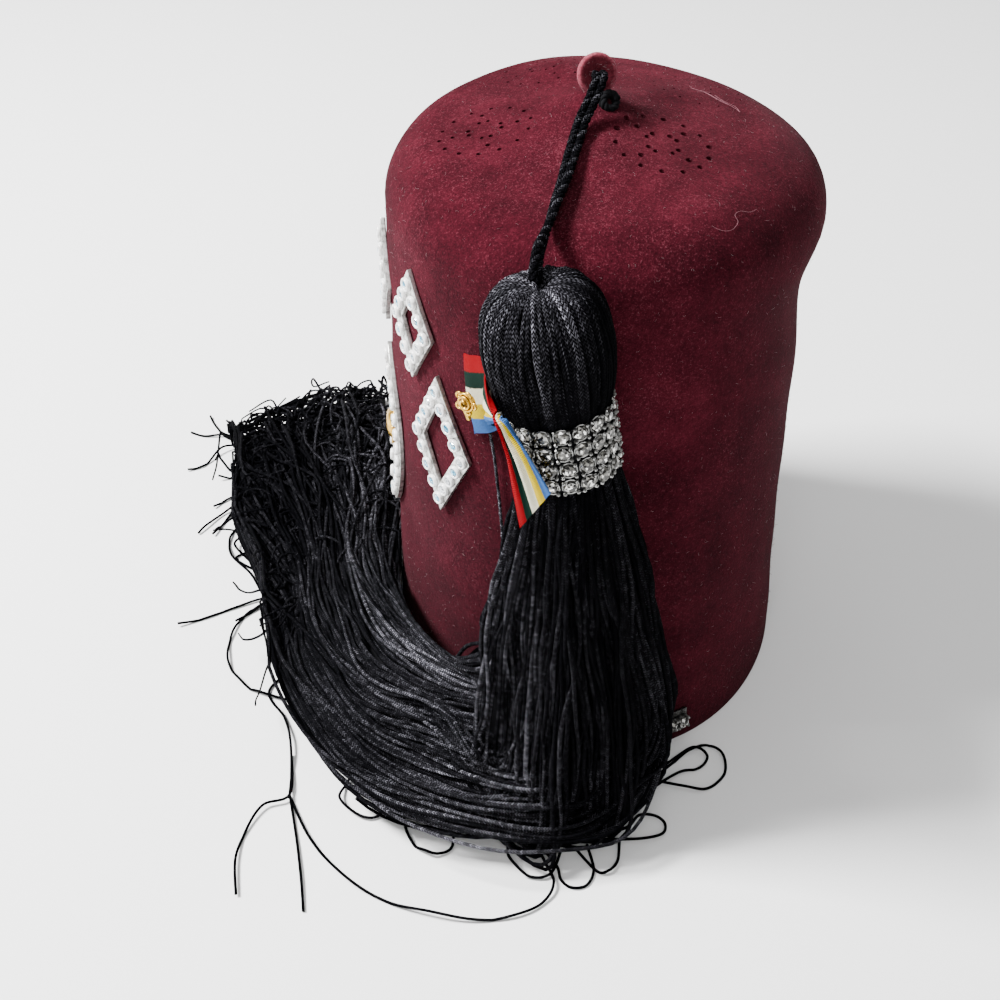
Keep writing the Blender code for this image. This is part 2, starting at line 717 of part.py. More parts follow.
def make_band(parts, root):
    frame = tassel_frame()
    inner = NECK_RADIUS + GAP
    outer = inner + BAND_THICKNESS
    rings = []
    for radius, height in ((inner, -0.5), (outer, -0.5), (outer, 0.5), (inner, 0.5)):
        ring = []
        for side in range(BAND_STONES):
            turn = 2 * math.pi * (side + 0.5) / BAND_STONES
            reach = radius / math.cos(math.pi / BAND_STONES)
            spoke = Vector((math.cos(turn), math.sin(turn), 0.0)) * reach
            ring.append(frame @ (spoke + Vector((0.0, 0.0, height * BAND_HEIGHT))))
        rings.append(ring)
    stones = []
    spacing = BAND_HEIGHT / BAND_ROWS
    sink = BAND_THICKNESS / 2
    upward = frame.to_3x3() @ Vector((0.0, 0.0, 1.0))
    for row in range(BAND_ROWS):
        height = (row + 0.5) * spacing - BAND_HEIGHT / 2
        for side in range(BAND_STONES):
            turn = 2 * math.pi * side / BAND_STONES
            spoke = Vector((math.cos(turn), math.sin(turn), 0.0))
            middle = frame @ (spoke * outer + Vector((0.0, 0.0, height)))
            normal = frame.to_3x3() @ spoke
            stones.append(stone_mesh(middle, normal, upward, BAND_STONE_RADIUS, STONE_HEIGHT, sink))
    mesh = fuse("tassel_band", [loft("cuff", rings, closed=True), joined("stones", stones)])
    add_object("tassel_band", mesh, parts, root, make_material("cup_chain", (0.62, 0.62, 0.60), 0.2, 0.9))


def plate_between(shapes, angle, middle, bends):
    # A flat strip on the felt between a smaller and a larger copy of the same outline
    shares = [bend / bends for bend in range(bends)]
    outlines = [outline_on_crown(angle, middle, shape, shares) for shape in shapes]
    rings = []
    (inner, inner_normals), (outer, outer_normals) = outlines
    for i in range(bends):
        inner_lift = inner_normals[i] * PLATE_THICKNESS
        outer_lift = outer_normals[i] * PLATE_THICKNESS
        rings.append([inner[i], outer[i], outer[i] + outer_lift, inner[i] + inner_lift])
    return loft("plate", rings, closed=True)


def outline_on_crown(angle, middle, shape, shares):
    # Points and normals on the felt of an outline given as (across, up) for a share of a turn
    points = []
    normals = []
    for share in shares:
        across, up = shape(share % 1.0)
        height = middle + up
        turn = math.radians(angle) + across / interpolate(CROWN_SECTIONS, height, 2)
        points.append(crown_point(turn, height, GAP))
        normals.append(crown_normal(turn, height))
    return points, normals


def even_shares(shape, count):
    # Shares of a turn that lie an even distance apart along the outline
    steps = 40 * count
    travelled = [0.0]
    for step in range(steps):
        start = Vector(shape(step / steps))
        end = Vector(shape((step + 1) / steps % 1.0))
        travelled.append(travelled[-1] + (end - start).length)
    shares = []
    for index in range(count):
        goal = travelled[-1] * index / count
        step = next(i for i, length in enumerate(travelled) if length >= goal - 1e-9)
        shares.append(step / steps)
    return shares


def lozenge_shape(half_width, half_height):
    def shape(share):
        side = int(share * 4) % 4
        t = share * 4 - side
        corners = ((0.0, half_height), (half_width, 0.0), (0.0, -half_height), (-half_width, 0.0))
        start = corners[side]
        end = corners[(side + 1) % 4]
        return (start[0] + (end[0] - start[0]) * t, start[1] + (end[1] - start[1]) * t)

    return shape


def pointed_oval_shape(half_width, half_height):
    def shape(share):
        turn = 2 * math.pi * share
        across = math.sin(turn) * abs(math.sin(turn)) ** ROSETTE_POINTEDNESS
        return (half_width * across, half_height * math.cos(turn))

    return shape


def stones_on(points, normals, radius):
    stones = []
    count = len(points)
    for i in range(count):
        ahead = points[(i + 1) % count] - points[i - 1]
        seat = points[i] + normals[i] * PLATE_THICKNESS
        stones.append(stone_mesh(seat, normals[i], ahead, radius, STONE_HEIGHT, PLATE_THICKNESS / 3))
    return joined("stones", stones)


def make_lozenge(parts, root, material, row):
    name, angle, middle, half_width, half_height, stones = row
    edge = PLATE_WIDTH / 2 * math.hypot(half_width, half_height)
    across = edge / half_height
    up = edge / half_width
    rims = [lozenge_shape(half_width + side * across, half_height + side * up) for side in (-1, 1)]
    plate = plate_between(rims, angle, middle, LOZENGE_BENDS)
    shape = lozenge_shape(half_width, half_height)
    seats, seat_normals = outline_on_crown(angle, middle, shape, even_shares(shape, stones))
    mesh = fuse(name, [plate, stones_on(seats, seat_normals, STONE_RADIUS)])
    add_object(name, mesh, parts, root, material)


def make_rosette(parts, root, material):
    rims = []
    for side in (-1, 1):
        half_width = ROSETTE_HALF_WIDTH + side * PLATE_WIDTH / 2
        rims.append(pointed_oval_shape(half_width, ROSETTE_HALF_HEIGHT + side * ROSETTE_TIP))
    plate = plate_between(rims, ROSETTE_ANGLE, ROSETTE_MIDDLE, ROSETTE_BENDS)
    shape = pointed_oval_shape(ROSETTE_HALF_WIDTH, ROSETTE_HALF_HEIGHT)
    places = even_shares(shape, ROSETTE_STONES)
    seats, seat_normals = outline_on_crown(ROSETTE_ANGLE, ROSETTE_MIDDLE, shape, places)
    angle = math.radians(ROSETTE_ANGLE)
    seat = crown_point(angle, ROSETTE_MIDDLE, GAP)
    normal = crown_normal(angle, ROSETTE_MIDDLE)
    turn = normal.to_track_quat("Z", "Y").to_matrix().to_4x4()
    bm = bmesh.new()
    bmesh.ops.create_cone(
        bm,
        cap_ends=True,
        segments=BOSS_SIDES,
        radius1=BOSS_RADIUS,
        radius2=BOSS_RADIUS * BOSS_FACE_SHARE,
        depth=BOSS_HEIGHT,
        matrix=Matrix.Translation(seat + normal * BOSS_HEIGHT / 2) @ turn,
    )
    boss = bpy.data.meshes.new("boss")
    bm.to_mesh(boss)
    bm.free()
    rings = []
    for step in range(BAR_STATIONS):
        across = ROSETTE_HALF_WIDTH * (2 * step / (BAR_STATIONS - 1) - 1)
        bar_angle = angle + across / interpolate(CROWN_SECTIONS, ROSETTE_MIDDLE, 2)
        low = crown_point(bar_angle, ROSETTE_MIDDLE, GAP)
        lift = crown_normal(bar_angle, ROSETTE_MIDDLE) * BAR_THICKNESS
        rise = Vector((0.0, 0.0, BAR_HALF_WIDTH))
        rings.append([low - rise, low + rise, low + rise + lift, low - rise + lift])
    bar = loft("bar", rings)
    mesh = fuse("front_rosette", [plate, stones_on(seats, seat_normals, STONE_RADIUS), boss, bar])
    add_object("front_rosette", mesh, parts, root, material)


def make_rim_stones(parts, root, material):
    first, last = (math.radians(angle) for angle in RIM_STRIP_ANGLES)
    rings = []
    for step in range(RIM_STATIONS):
        turn = first + (last - first) * step / (RIM_STATIONS - 1)
        ring = []
        for height, out in ((-0.5, 0.0), (0.5, 0.0), (0.5, PLATE_THICKNESS), (-0.5, PLATE_THICKNESS)):
            ring.append(crown_point(turn, RIM_STRIP_HEIGHT + height * RIM_STRIP_WIDTH, GAP + out))
        rings.append(ring)
    stones = []
    upward = Vector((0.0, 0.0, 1.0))
    sink = PLATE_THICKNESS / 2
    for index in range(RIM_STONES):
        turn = first + (last - first) * (index + 0.5) / RIM_STONES
        normal = crown_normal(turn, RIM_STRIP_HEIGHT)
        seat = crown_point(turn, RIM_STRIP_HEIGHT, GAP + PLATE_THICKNESS)
        stones.append(stone_mesh(seat, normal, upward, RIM_STONE_RADIUS, STONE_HEIGHT, sink))
    mesh = fuse("rim_stones", [loft("strip", rings), joined("stones", stones)])
    add_object("rim_stones", mesh, parts, root, material)


# Ribbon and pin


def make_ribbon(parts, root):
    rings = []
    count = len(RIBBON_EDGES)
    red = [Vector(row[1:4]) for row in RIBBON_EDGES]
    blue = [Vector(row[4:7]) for row in RIBBON_EDGES]
    for index in range(count):
        before = max(index - 1, 0)
        after = min(index + 1, count - 1)
        ahead = (red[after] + blue[after]) - (red[before] + blue[before])
        face = (blue[index] - red[index]).cross(ahead).normalized() * RIBBON_THICKNESS / 2
        rings.append([red[index] - face, blue[index] - face, blue[index] + face, red[index] + face])
    mesh = loft("ribbon", rings)
    add_object("ribbon", mesh, parts, root, make_material("striped_ribbon", (0.75, 0.62, 0.12), 0.6))


def make_pin(parts, root):
    bm = bmesh.new()
    bmesh.ops.create_cone(
        bm,
        cap_ends=True,
        segments=PIN_SIDES,
        radius1=PIN_RADIUS,
        radius2=PIN_RADIUS * PIN_FACE_SHARE,
        depth=PIN_LENGTH,
    )
    mesh = bpy.data.meshes.new("ribbon_pin")
    bm.to_mesh(mesh)
    bm.free()
    gilt = make_material("gilt", (0.75, 0.52, 0.12), 0.3, 1.0)
    pin = add_object("ribbon_pin", mesh, parts, root, gilt)
    pin.location = PIN_MIDDLE
    pin.rotation_euler = Vector(PIN_FACING).to_track_quat("Z", "Y").to_euler()


def main():
    clear_scene()
    parts = make_collection("fez")
    cutters = make_collection("cutters")
    root = bpy.data.objects.new("rim_middle", None)
    parts.objects.link(root)
    root.location = RIM_MIDDLE
    make_crown(parts, cutters, root)
    make_button(parts, root)
    make_cord(parts, root)
    make_tassel(parts, root)
    make_band(parts, root)
    silver = make_material("white_stones_on_silver", (0.85, 0.86, 0.88), 0.25, 0.3)
    for row in LOZENGES:
        make_lozenge(parts, root, silver, row)
    make_rosette(parts, root, silver)
    make_rim_stones(parts, root, silver)
    make_ribbon(parts, root)
    make_pin(parts, root)


main()
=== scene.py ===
import json
import math

import bmesh
import bpy
import numpy as np
from mathutils import Matrix, Vector

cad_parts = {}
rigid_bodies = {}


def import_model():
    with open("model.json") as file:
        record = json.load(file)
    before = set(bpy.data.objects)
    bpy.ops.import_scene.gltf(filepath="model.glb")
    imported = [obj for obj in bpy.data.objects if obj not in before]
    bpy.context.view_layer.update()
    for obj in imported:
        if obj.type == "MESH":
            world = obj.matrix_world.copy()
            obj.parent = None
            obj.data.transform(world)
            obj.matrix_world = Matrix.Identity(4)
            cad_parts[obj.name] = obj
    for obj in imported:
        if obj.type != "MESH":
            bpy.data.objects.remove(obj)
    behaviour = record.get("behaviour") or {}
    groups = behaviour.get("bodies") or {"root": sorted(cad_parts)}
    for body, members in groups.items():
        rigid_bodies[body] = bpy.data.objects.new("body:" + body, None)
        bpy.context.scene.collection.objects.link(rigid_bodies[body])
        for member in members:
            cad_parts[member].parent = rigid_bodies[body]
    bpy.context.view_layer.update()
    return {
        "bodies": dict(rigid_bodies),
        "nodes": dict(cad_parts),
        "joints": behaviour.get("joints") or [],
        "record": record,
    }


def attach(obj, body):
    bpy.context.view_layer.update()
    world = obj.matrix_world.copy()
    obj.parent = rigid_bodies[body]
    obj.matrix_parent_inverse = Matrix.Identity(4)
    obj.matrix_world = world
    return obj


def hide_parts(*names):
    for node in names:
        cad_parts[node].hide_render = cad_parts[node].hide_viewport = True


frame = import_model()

# A tall felt fez with a long corded tassel, standing on its rim. Metres, +Z up, front of the hat to -X.
# Everything is worked out about the middle of the rim, and addPiece moves it to its place.
rimMiddle = Vector((0.0442, 0.0056, 0.0))
seed = 7


# Camera, lights and floor

def linked(name, data):
    item = bpy.data.objects.new(name, data)
    bpy.context.scene.collection.objects.link(item)
    return item


view = {
    "place": (-0.0220, -0.40675, 0.40908),
    "down": 0.7137179,  # radians below the horizon
    "swing": -0.0738418,  # radians about the upright
    "roll": -0.0308693,
    "lens": 46.93,
    "sensor": 36.0,
}


def makeCamera():
    ahead = Vector((0.0, math.cos(view["down"]), -math.sin(view["down"])))
    right = Vector((1.0, 0.0, 0.0))
    up = right.cross(ahead)
    swing = Matrix.Rotation(view["swing"], 3, "Z")
    ahead, right, up = swing @ ahead, swing @ right, swing @ up
    c, s = math.cos(view["roll"]), math.sin(view["roll"])
    turn = Matrix((right * c + up * s, up * c - right * s, -ahead)).transposed()
    data = bpy.data.cameras.new("camera")
    data.lens = view["lens"]
    data.sensor_width = view["sensor"]
    camera = linked("camera", data)
    camera.matrix_world = Matrix.Translation(view["place"]) @ turn.to_4x4()
    bpy.context.scene.camera = camera


studio = {
    # place, size, watts
    "lamps": {
        "key": ((-0.94, 0.16, 1.27), 0.40, 104.0),
        "front fill": ((-0.10, -1.15, 1.45), 1.00, 12.0),
        "top": ((0.10, 0.30, 1.70), 0.90, 5.5),
    },
    "aim": (0.03, 0.0, 0.11),
    "sky": 0.42,
    "floorHalf": 1.6,
    "floorWhite": 0.93,
}


def makeStudio():
    for name, (place, size, watts) in studio["lamps"].items():
        data = bpy.data.lights.new(name, "AREA")
        data.size = size
        data.energy = watts
        lamp = linked(name, data)
        lamp.location = place
        lamp.rotation_euler = (Vector(studio["aim"]) - Vector(place)).to_track_quat("-Z", "Y").to_euler()
    world = bpy.context.scene.world or bpy.data.worlds.new("studio")
    bpy.context.scene.world = world
    world.use_nodes = True
    sky = world.node_tree.nodes["Background"].inputs
    sky["Color"].default_value = (1.0, 1.0, 1.0, 1.0)
    sky["Strength"].default_value = studio["sky"]
    mesh = bpy.data.meshes.new("floor")
    half = studio["floorHalf"]
    mesh.from_pydata([(-half, -half, 0), (half, -half, 0), (half, half, 0), (-half, half, 0)], [], [(0, 1, 2, 3)])
    floor = linked("floor", mesh)
    floor.data.materials.append(Finish("paper", (studio["floorWhite"],) * 3, 0.9).material)
    print("studio: camera, floor and", len(studio["lamps"]), "lamps")


# Node building

class Wire:
    # one socket of a node tree, so that maths on it reads as plain Python
    def __init__(self, kit, socket):
        self.kit = kit
        self.socket = socket

    def __add__(self, other):
        return self.kit.maths("ADD", self, other)

    def __sub__(self, other):
        return self.kit.maths("SUBTRACT", self, other)

    def __mul__(self, other):
        return self.kit.maths("MULTIPLY", self, other)

    def __truediv__(self, other):
        return self.kit.maths("DIVIDE", self, other)

    __radd__ = __add__
    __rmul__ = __mul__


class Kit:
    # builds one node tree
    def __init__(self, tree):
        self.tree = tree

    def node(self, kind, settings=None, sockets=None, output=0):
        made = self.tree.nodes.new(kind)
        for name, value in (settings or {}).items():
            if name == "stops":
                elements = made.color_ramp.elements
                while len(elements) < len(value):
                    elements.new(0.5)
                for element, (place, colour) in zip(elements, value):
                    element.position = place
                    element.color = (*colour, 1.0) if hasattr(colour, "__len__") else (colour, colour, colour, 1.0)
            else:
                setattr(made, name, value)
        for name, value in (sockets or {}).items():
            self.plug(made.inputs[name], value)
        return Wire(self, made.outputs[output])

    def plug(self, socket, value):
        if isinstance(value, Wire):
            self.tree.links.new(value.socket, socket)
        else:
            socket.default_value = value

    def maths(self, operation, first, second=0.0):
        return self.node("ShaderNodeMath", {"operation": operation}, {0: first, 1: second})


class Finish(Kit):
    # one material and the few things that every finish needs
    def __init__(self, name, colour, roughness, metallic=0.0, **constants):
        self.material = bpy.data.materials.new(name)
        self.material.use_nodes = True
        super().__init__(self.material.node_tree)
        self.shader = self.tree.nodes["Principled BSDF"]
        self.set("Base Color", (*colour, 1.0))
        self.set("Roughness", roughness)
        self.set("Metallic", metallic)
        for name, value in constants.items():
            self.set(name.replace("_", " "), value)

    def set(self, socket, value):
        self.plug(self.shader.inputs[socket], value)

    def place(self):
        return self.node("ShaderNodeTexCoord", output="Object")

    def attribute(self, name, output="Fac"):
        return self.node("ShaderNodeAttribute", {"attribute_name": name}, output=output)

    def noise(self, scale, detail=2.0, roughness=0.5, vector=None, output="Fac"):
        vector = vector or self.place()
        sockets = {"Vector": vector, "Scale": scale, "Detail": detail, "Roughness": roughness}
        return self.node("ShaderNodeTexNoise", {}, sockets, output)

    def ramp(self, factor, *stops):
        return self.node("ShaderNodeValToRGB", {"stops": stops}, {"Fac": factor})

    def mix(self, factor, first, second):
        first, second = ((*c, 1.0) if isinstance(c, tuple) and len(c) == 3 else c for c in (first, second))
        return self.node("ShaderNodeMix", {"data_type": "RGBA"}, {0: factor, 6: first, 7: second}, 2)

    def split(self, vector):
        made = self.node("ShaderNodeSeparateXYZ", {}, {0: vector})
        return [Wire(self, made.socket.node.outputs[i]) for i in range(3)]

    def bump(self, height, distance, strength=1.0):
        sockets = {"Height": height, "Distance": distance, "Strength": strength}
        self.set("Normal", self.node("ShaderNodeBump", {}, sockets))


# Geometry trees

def newTree(name, inputs):
    tree = bpy.data.node_groups.new(name, "GeometryNodeTree")
    tree.interface.new_socket("Geometry", in_out="INPUT", socket_type="NodeSocketGeometry")
    for label, kind in inputs.items():
        tree.interface.new_socket(label, in_out="INPUT", socket_type=f"NodeSocket{kind}")
    tree.interface.new_socket("Geometry", in_out="OUTPUT", socket_type="NodeSocketGeometry")
    kit = Kit(tree)
    entry = tree.nodes.new("NodeGroupInput")
    wires = {socket.name: Wire(kit, socket) for socket in entry.outputs if socket.name}
    return kit, wires


def closeTree(kit, geometry, material):
    # every tree ends in realised geometry with its material on
    whole = kit.node("GeometryNodeRealizeInstances", {}, {0: geometry})
    painted = kit.node("GeometryNodeSetMaterial", {}, {"Geometry": whole, "Material": material})
    end = kit.tree.nodes.new("NodeGroupOutput")
    kit.plug(end.inputs[0], painted)
    return kit.tree


def runTree(name, mesh, tree, values):
    # puts the tree on a mesh and gives the plain mesh that comes out of it
    item = linked(name + "Guide", mesh)
    run = item.modifiers.new("run", "NODES")
    run.node_group = tree
    for socket in tree.interface.items_tree:
        if socket.in_out == "INPUT" and socket.name in values:
            run[socket.identifier] = values[socket.name]
    return evaluatedMesh(item, name)


def evaluatedMesh(item, name):
    # the object's mesh with its modifiers in it; the object goes
    bpy.context.view_layer.update()
    seen = item.evaluated_get(bpy.context.evaluated_depsgraph_get())
    mesh = bpy.data.meshes.new_from_object(seen)
    mesh.name = name
    bpy.data.objects.remove(item, do_unlink=True)
    return mesh


def cordTree():
    # round cords along the guide's lines, with their length and turn kept for the material
    kit, given = newTree("cordTubes", {"Radius": "Float", "Sides": "Int", "Material": "Material"})
    line = kit.node("GeometryNodeMeshToCurve", {}, {0: given["Geometry"]})
    length = kit.node("GeometryNodeSplineParameter", output="Length")
    line = kit.node("GeometryNodeStoreNamedAttribute", {"data_type": "FLOAT", "domain": "POINT"},
                    {"Geometry": line, "Name": "along", "Value": length})
    number = kit.node("FunctionNodeRandomValue", {"data_type": "FLOAT"}, {"Seed": seed}, 1)
    line = kit.node("GeometryNodeStoreNamedAttribute", {"data_type": "FLOAT", "domain": "CURVE"},
                    {"Geometry": line, "Name": "thread", "Value": number})
    ring = kit.node("GeometryNodeCurvePrimitiveCircle", {"mode": "RADIUS"},
                    {"Resolution": given["Sides"], "Radius": given["Radius"]})
    turn = kit.node("GeometryNodeInputPosition")
    turn = kit.node("ShaderNodeVectorMath", {"operation": "NORMALIZE"}, {0: turn})
    ring = kit.node("GeometryNodeStoreNamedAttribute", {"data_type": "FLOAT_VECTOR", "domain": "POINT"},
                    {"Geometry": ring, "Name": "turn", "Value": turn})
    weight = kit.node("GeometryNodeInputNamedAttribute", {"data_type": "FLOAT"}, {"Name": "weight"})
    tube = kit.node("GeometryNodeCurveToMesh", {},
                    {"Curve": line, "Profile Curve": ring, "Fill Caps": True, "Scale": weight})
    tube = kit.node("GeometryNodeSetShadeSmooth", {}, {"Geometry": tube})
    return closeTree(kit, tube, given["Material"])


def lineMesh(name, lines, weights=None):
    # guide lines as one mesh of edges; weight scales a cord along its line
    points = np.concatenate(lines)
    edges = []
    start = 0
    for line in lines:
        edges += [(start + i, start + i + 1) for i in range(len(line) - 1)]
        start += len(line)
    mesh = bpy.data.meshes.new(name)
    mesh.from_pydata(points.tolist(), edges, [])
    store = mesh.attributes.new("weight", "FLOAT", "POINT")
    store.data.foreach_set("value", np.concatenate(weights) if weights else np.ones(len(points)))
    return mesh


def cordMesh(name, lines, radius, sides, material, weights=None):
    values = {"Radius": radius, "Sides": sides, "Material": material}
    return runTree(name, lineMesh(name, lines, weights), trees["cord"], values)


# Pieces

def addPiece(name, mesh, materials=(), slot=None, replaced=()):
    # a finished piece: its mesh goes to its place, its object stays at the origin
    mesh.transform(Matrix.Translation(rimMiddle))
    if materials:
        mesh.materials.clear()
        for material in materials:
            mesh.materials.append(material)
    piece = linked(name, mesh)
    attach(piece, "root")
    if replaced:
        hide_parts(*replaced)
    print(f"{name}: {len(mesh.loop_triangles) or sum(len(p.vertices) - 2 for p in mesh.polygons)} triangles")
    return piece


def addCords(name, lines, radius, sides, finish, slot, replaced=(), weights=None):
    return addPiece(name, cordMesh(name, lines, radius, sides, finish, weights), (), slot, replaced)


def smoothLine(points, count):
    # evenly read points of a smooth curve through the given ones; works on whole arrays of lines too
    points = np.asarray(points, float)
    spans = len(points) - 1
    place = np.linspace(0, spans, count)
    index = np.minimum(place.astype(int), spans - 1)
    t = (place - index).reshape((-1,) + (1,) * (points.ndim - 1))
    before, start = points[np.maximum(index - 1, 0)], points[index]
    end, after = points[index + 1], points[np.minimum(index + 2, spans)]
    return (start * (2 * t**3 - 3 * t**2 + 1) + (end - before) / 2 * (t**3 - 2 * t**2 + t)
            + end * (3 * t**2 - 2 * t**3) + (after - start) / 2 * (t**3 - t**2))


def unit(vectors):
    return vectors / np.maximum(np.linalg.norm(vectors, axis=-1, keepdims=True), 1e-12)


def lengthAlong(line):
    # the distance travelled at each point of a line
    return np.concatenate([[0], np.cumsum(np.linalg.norm(np.diff(line, axis=0), axis=1))])


def standAt(middle, facing, up="Y"):
    # the place of something made round +Z that faces another way
    return Matrix.Translation(middle) @ Vector(facing).to_track_quat("Z", up).to_matrix().to_4x4()


# Crown

crown = {
    "height": 0.2235,
    "felt": 0.0025,
    "shoulder": 0.0175,
    "rise": 0.0142,
    "peak": 0.06,
    "sides": 224,
    "wallRows": 58,
    "shoulderRows": 16,
    "topRows": 27,
    # height, half width, half depth
    "sections": ((0.000, 0.0800, 0.0970), (0.050, 0.0778, 0.0930), (0.110, 0.0755, 0.0870),
                 (0.155, 0.0738, 0.0832), (0.192, 0.0724, 0.0798)),
    # angle, along, spread in degrees, spread along, outwards
    "folds": {
        "back shoulder swell": (0.0, 0.190, 42.0, 0.016, 0.0089),
        "back wall swell": (0.0, 0.128, 40.0, 0.030, 0.0020),
        "top ridge": (22.0, 0.245, 13.0, 0.018, 0.0016),
        "back of the top": (97.0, 0.240, 20.0, 0.016, 0.0034),
        "peak under the button": (0.0, 0.282, 900.0, 0.014, 0.0045),
        "crease under the cord": (-84.0, 0.150, 9.0, 0.045, -0.0014),
        "near wall swell": (-62.0, 0.120, 20.0, 0.060, 0.0010),
        "front wall hollow": (-165.0, 0.090, 24.0, 0.050, -0.0010),
        "far wall hollow": (95.0, 0.110, 30.0, 0.050, -0.0015),
    },
    "waves": 0.00035,
    "wavesFrom": 0.02,  # the rim itself stays even
}
vents = {
    # x, y, turn in degrees, width of the holes
    "clusters": ((0.0190, -0.0240, -50.0, 1.05), (-0.0370, -0.0020, 180.0, 0.85), (-0.0110, 0.0440, 100.0, 0.55),
                 (0.0400, 0.0220, 30.0, 0.45)),
    "ring": 0.0155,
    "ringHoles": 14,
    "arcTurns": (-15.0, 15.0, 45.0),
    "radius": 0.00090,
    "unevenness": 0.15,
    "flare": (0.9, 1.15),
    "depth": 0.03,
    "sides": 14,
}
wallHeight = crown["height"] - crown["rise"] - crown["shoulder"]
shoulderEnd = wallHeight + crown["shoulder"] * math.pi / 2
sectionHeights, sectionWidths, sectionDepths = np.array(crown["sections"]).T
widthCurve = np.polyfit(sectionHeights, sectionWidths, 2)
depthCurve = np.polyfit(sectionHeights, sectionDepths, 2)
topHalfDepth = sectionDepths[-1] - crown["shoulder"]
profileLength = shoulderEnd + topHalfDepth


def plainCrown(angle, along):
    low = np.minimum(along, wallHeight)
    halfWidth, halfDepth = np.polyval(widthCurve, low), np.polyval(depthCurve, low)
    turn = np.clip((along - wallHeight) / crown["shoulder"], 0, math.pi / 2)
    inset = crown["shoulder"] * (1 - np.cos(turn))
    reach = np.clip(1 - (along - shoulderEnd) / topHalfDepth, 0, 1)
    x = (halfWidth - inset) * reach * np.cos(angle)
    y = (halfDepth - inset) * reach * np.sin(angle)
    distance = np.hypot(x / halfWidth, y / halfDepth)
    rise = crown["rise"] * (1 - np.hypot(distance, crown["peak"]) + crown["peak"]) * np.sin(turn)
    return np.stack([x, y, low + crown["shoulder"] * np.sin(turn) + rise], -1)


def crownNormal(angle, along):
    step = 0.001
    along = np.minimum(along, profileLength - 3 * step)
    across = plainCrown(angle + step, along) - plainCrown(angle - step, along)
    upward = plainCrown(angle, along + step) - plainCrown(angle, np.maximum(along - step, 0))
    return unit(np.cross(across, upward))


def foldDepth(angle, along):
    depth = np.zeros(np.broadcast(angle, along).shape)
    for foldAngle, foldAlong, spread, spreadAlong, outwards in crown["folds"].values():
        turn = (np.degrees(angle) - foldAngle + 180) % 360 - 180
        depth += outwards * np.exp(-((turn / spread) ** 2) - ((along - foldAlong) / spreadAlong) ** 2)
    return depth


def softWaves(points):
    # the slight unevenness of hand-blocked felt
    x, y, z = (points[..., i] for i in range(3))
    waves = np.sin(95 * x + 60 * z + 1.1) * np.sin(80 * y - 40 * z) + 0.6 * np.sin(150 * z + 70 * y + 2.0)
    return waves * crown["waves"]


def crownPoint(angle, along, out=0.0):
    angle, along = np.asarray(angle, float), np.asarray(along, float)
    points = plainCrown(angle, along)
    lift = out + foldDepth(angle, along)
    return points + crownNormal(angle, along) * lift[..., None]


def crownSkin():
    # the outer skin of the felt as a grid round the hat, closed with a fan under the button
    wall = np.linspace(0.0012, wallHeight, crown["wallRows"])
    shoulder = np.linspace(wallHeight, shoulderEnd, crown["shoulderRows"])[1:]
    top = shoulderEnd + topHalfDepth * (np.linspace(0, 1, crown["topRows"])[1:-1]) ** 0.9
    along = np.concatenate([[0.0, 0.0005], wall, shoulder, top])
    out = np.zeros(len(along))
    out[:2] = -0.0006, -0.0002
    angle = np.linspace(0, 2 * math.pi, crown["sides"], endpoint=False)
    grid = crownPoint(angle[None, :], along[:, None], out[:, None])
    fade = np.clip(along / crown["wavesFrom"], 0, 1)[:, None, None]
    grid = grid + crownNormal(angle[None, :], along[:, None]) * softWaves(grid)[..., None] * fade
    grid[0, :, 2] = 0.0
    middle = plainCrown(0.0, profileLength) + np.array([0, 0, float(foldDepth(0.0, profileLength))])
    return grid, middle


def gridMesh(name, grid, middle):
    rows, columns = grid.shape[:2]
    points = np.concatenate([grid.reshape(-1, 3), middle[None]])
    faces = []
    for row in range(rows - 1):
        for i in range(columns):
            j = (i + 1) % columns
            faces.append((row * columns + i, row * columns + j, (row + 1) * columns + j, (row + 1) * columns + i))
    last = (rows - 1) * columns
    faces += [(last + i, last + (i + 1) % columns, rows * columns) for i in range(columns)]
    mesh = bpy.data.meshes.new(name)
    mesh.from_pydata(points.tolist(), [], faces)
    return mesh


def ventPlaces():
    # a ring of holes with four arcs curving in from it
    places = []
    for hole in range(vents["ringHoles"]):
        turn = 2 * math.pi * hole / vents["ringHoles"]
        places.append((vents["ring"] * math.cos(turn), vents["ring"] * math.sin(turn)))
    for quarter in range(4):
        facing = math.radians(90 * quarter + 45)
        for arcTurn in vents["arcTurns"]:
            turn = facing + math.pi + math.radians(arcTurn)
            reach = vents["ring"] / math.sqrt(2)
            places.append((vents["ring"] * math.cos(facing) + reach * math.cos(turn),
                           vents["ring"] * math.sin(facing) + reach * math.sin(turn)))
    return places


def ventCutter():
    bm = bmesh.new()
    dice = np.random.default_rng(seed)
    for middleX, middleY, angle, width in vents["clusters"]:
        spin = Matrix.Rotation(math.radians(angle), 4, "Z")
        for x, y in ventPlaces():
            place = spin @ Vector((x, y, 0)) + Vector((middleX, middleY, crown["height"] - crown["rise"]))
            radius = vents["radius"] * width * dice.uniform(1 - vents["unevenness"], 1 + vents["unevenness"])
            low, high = (radius * share for share in vents["flare"])
            bmesh.ops.create_cone(bm, cap_ends=True, segments=vents["sides"], radius1=low, radius2=high,
                                  depth=vents["depth"], matrix=Matrix.Translation(place))
    mesh = bpy.data.meshes.new("ventCutter")
    bm.to_mesh(mesh)
    bm.free()
    return linked("ventCutter", mesh)


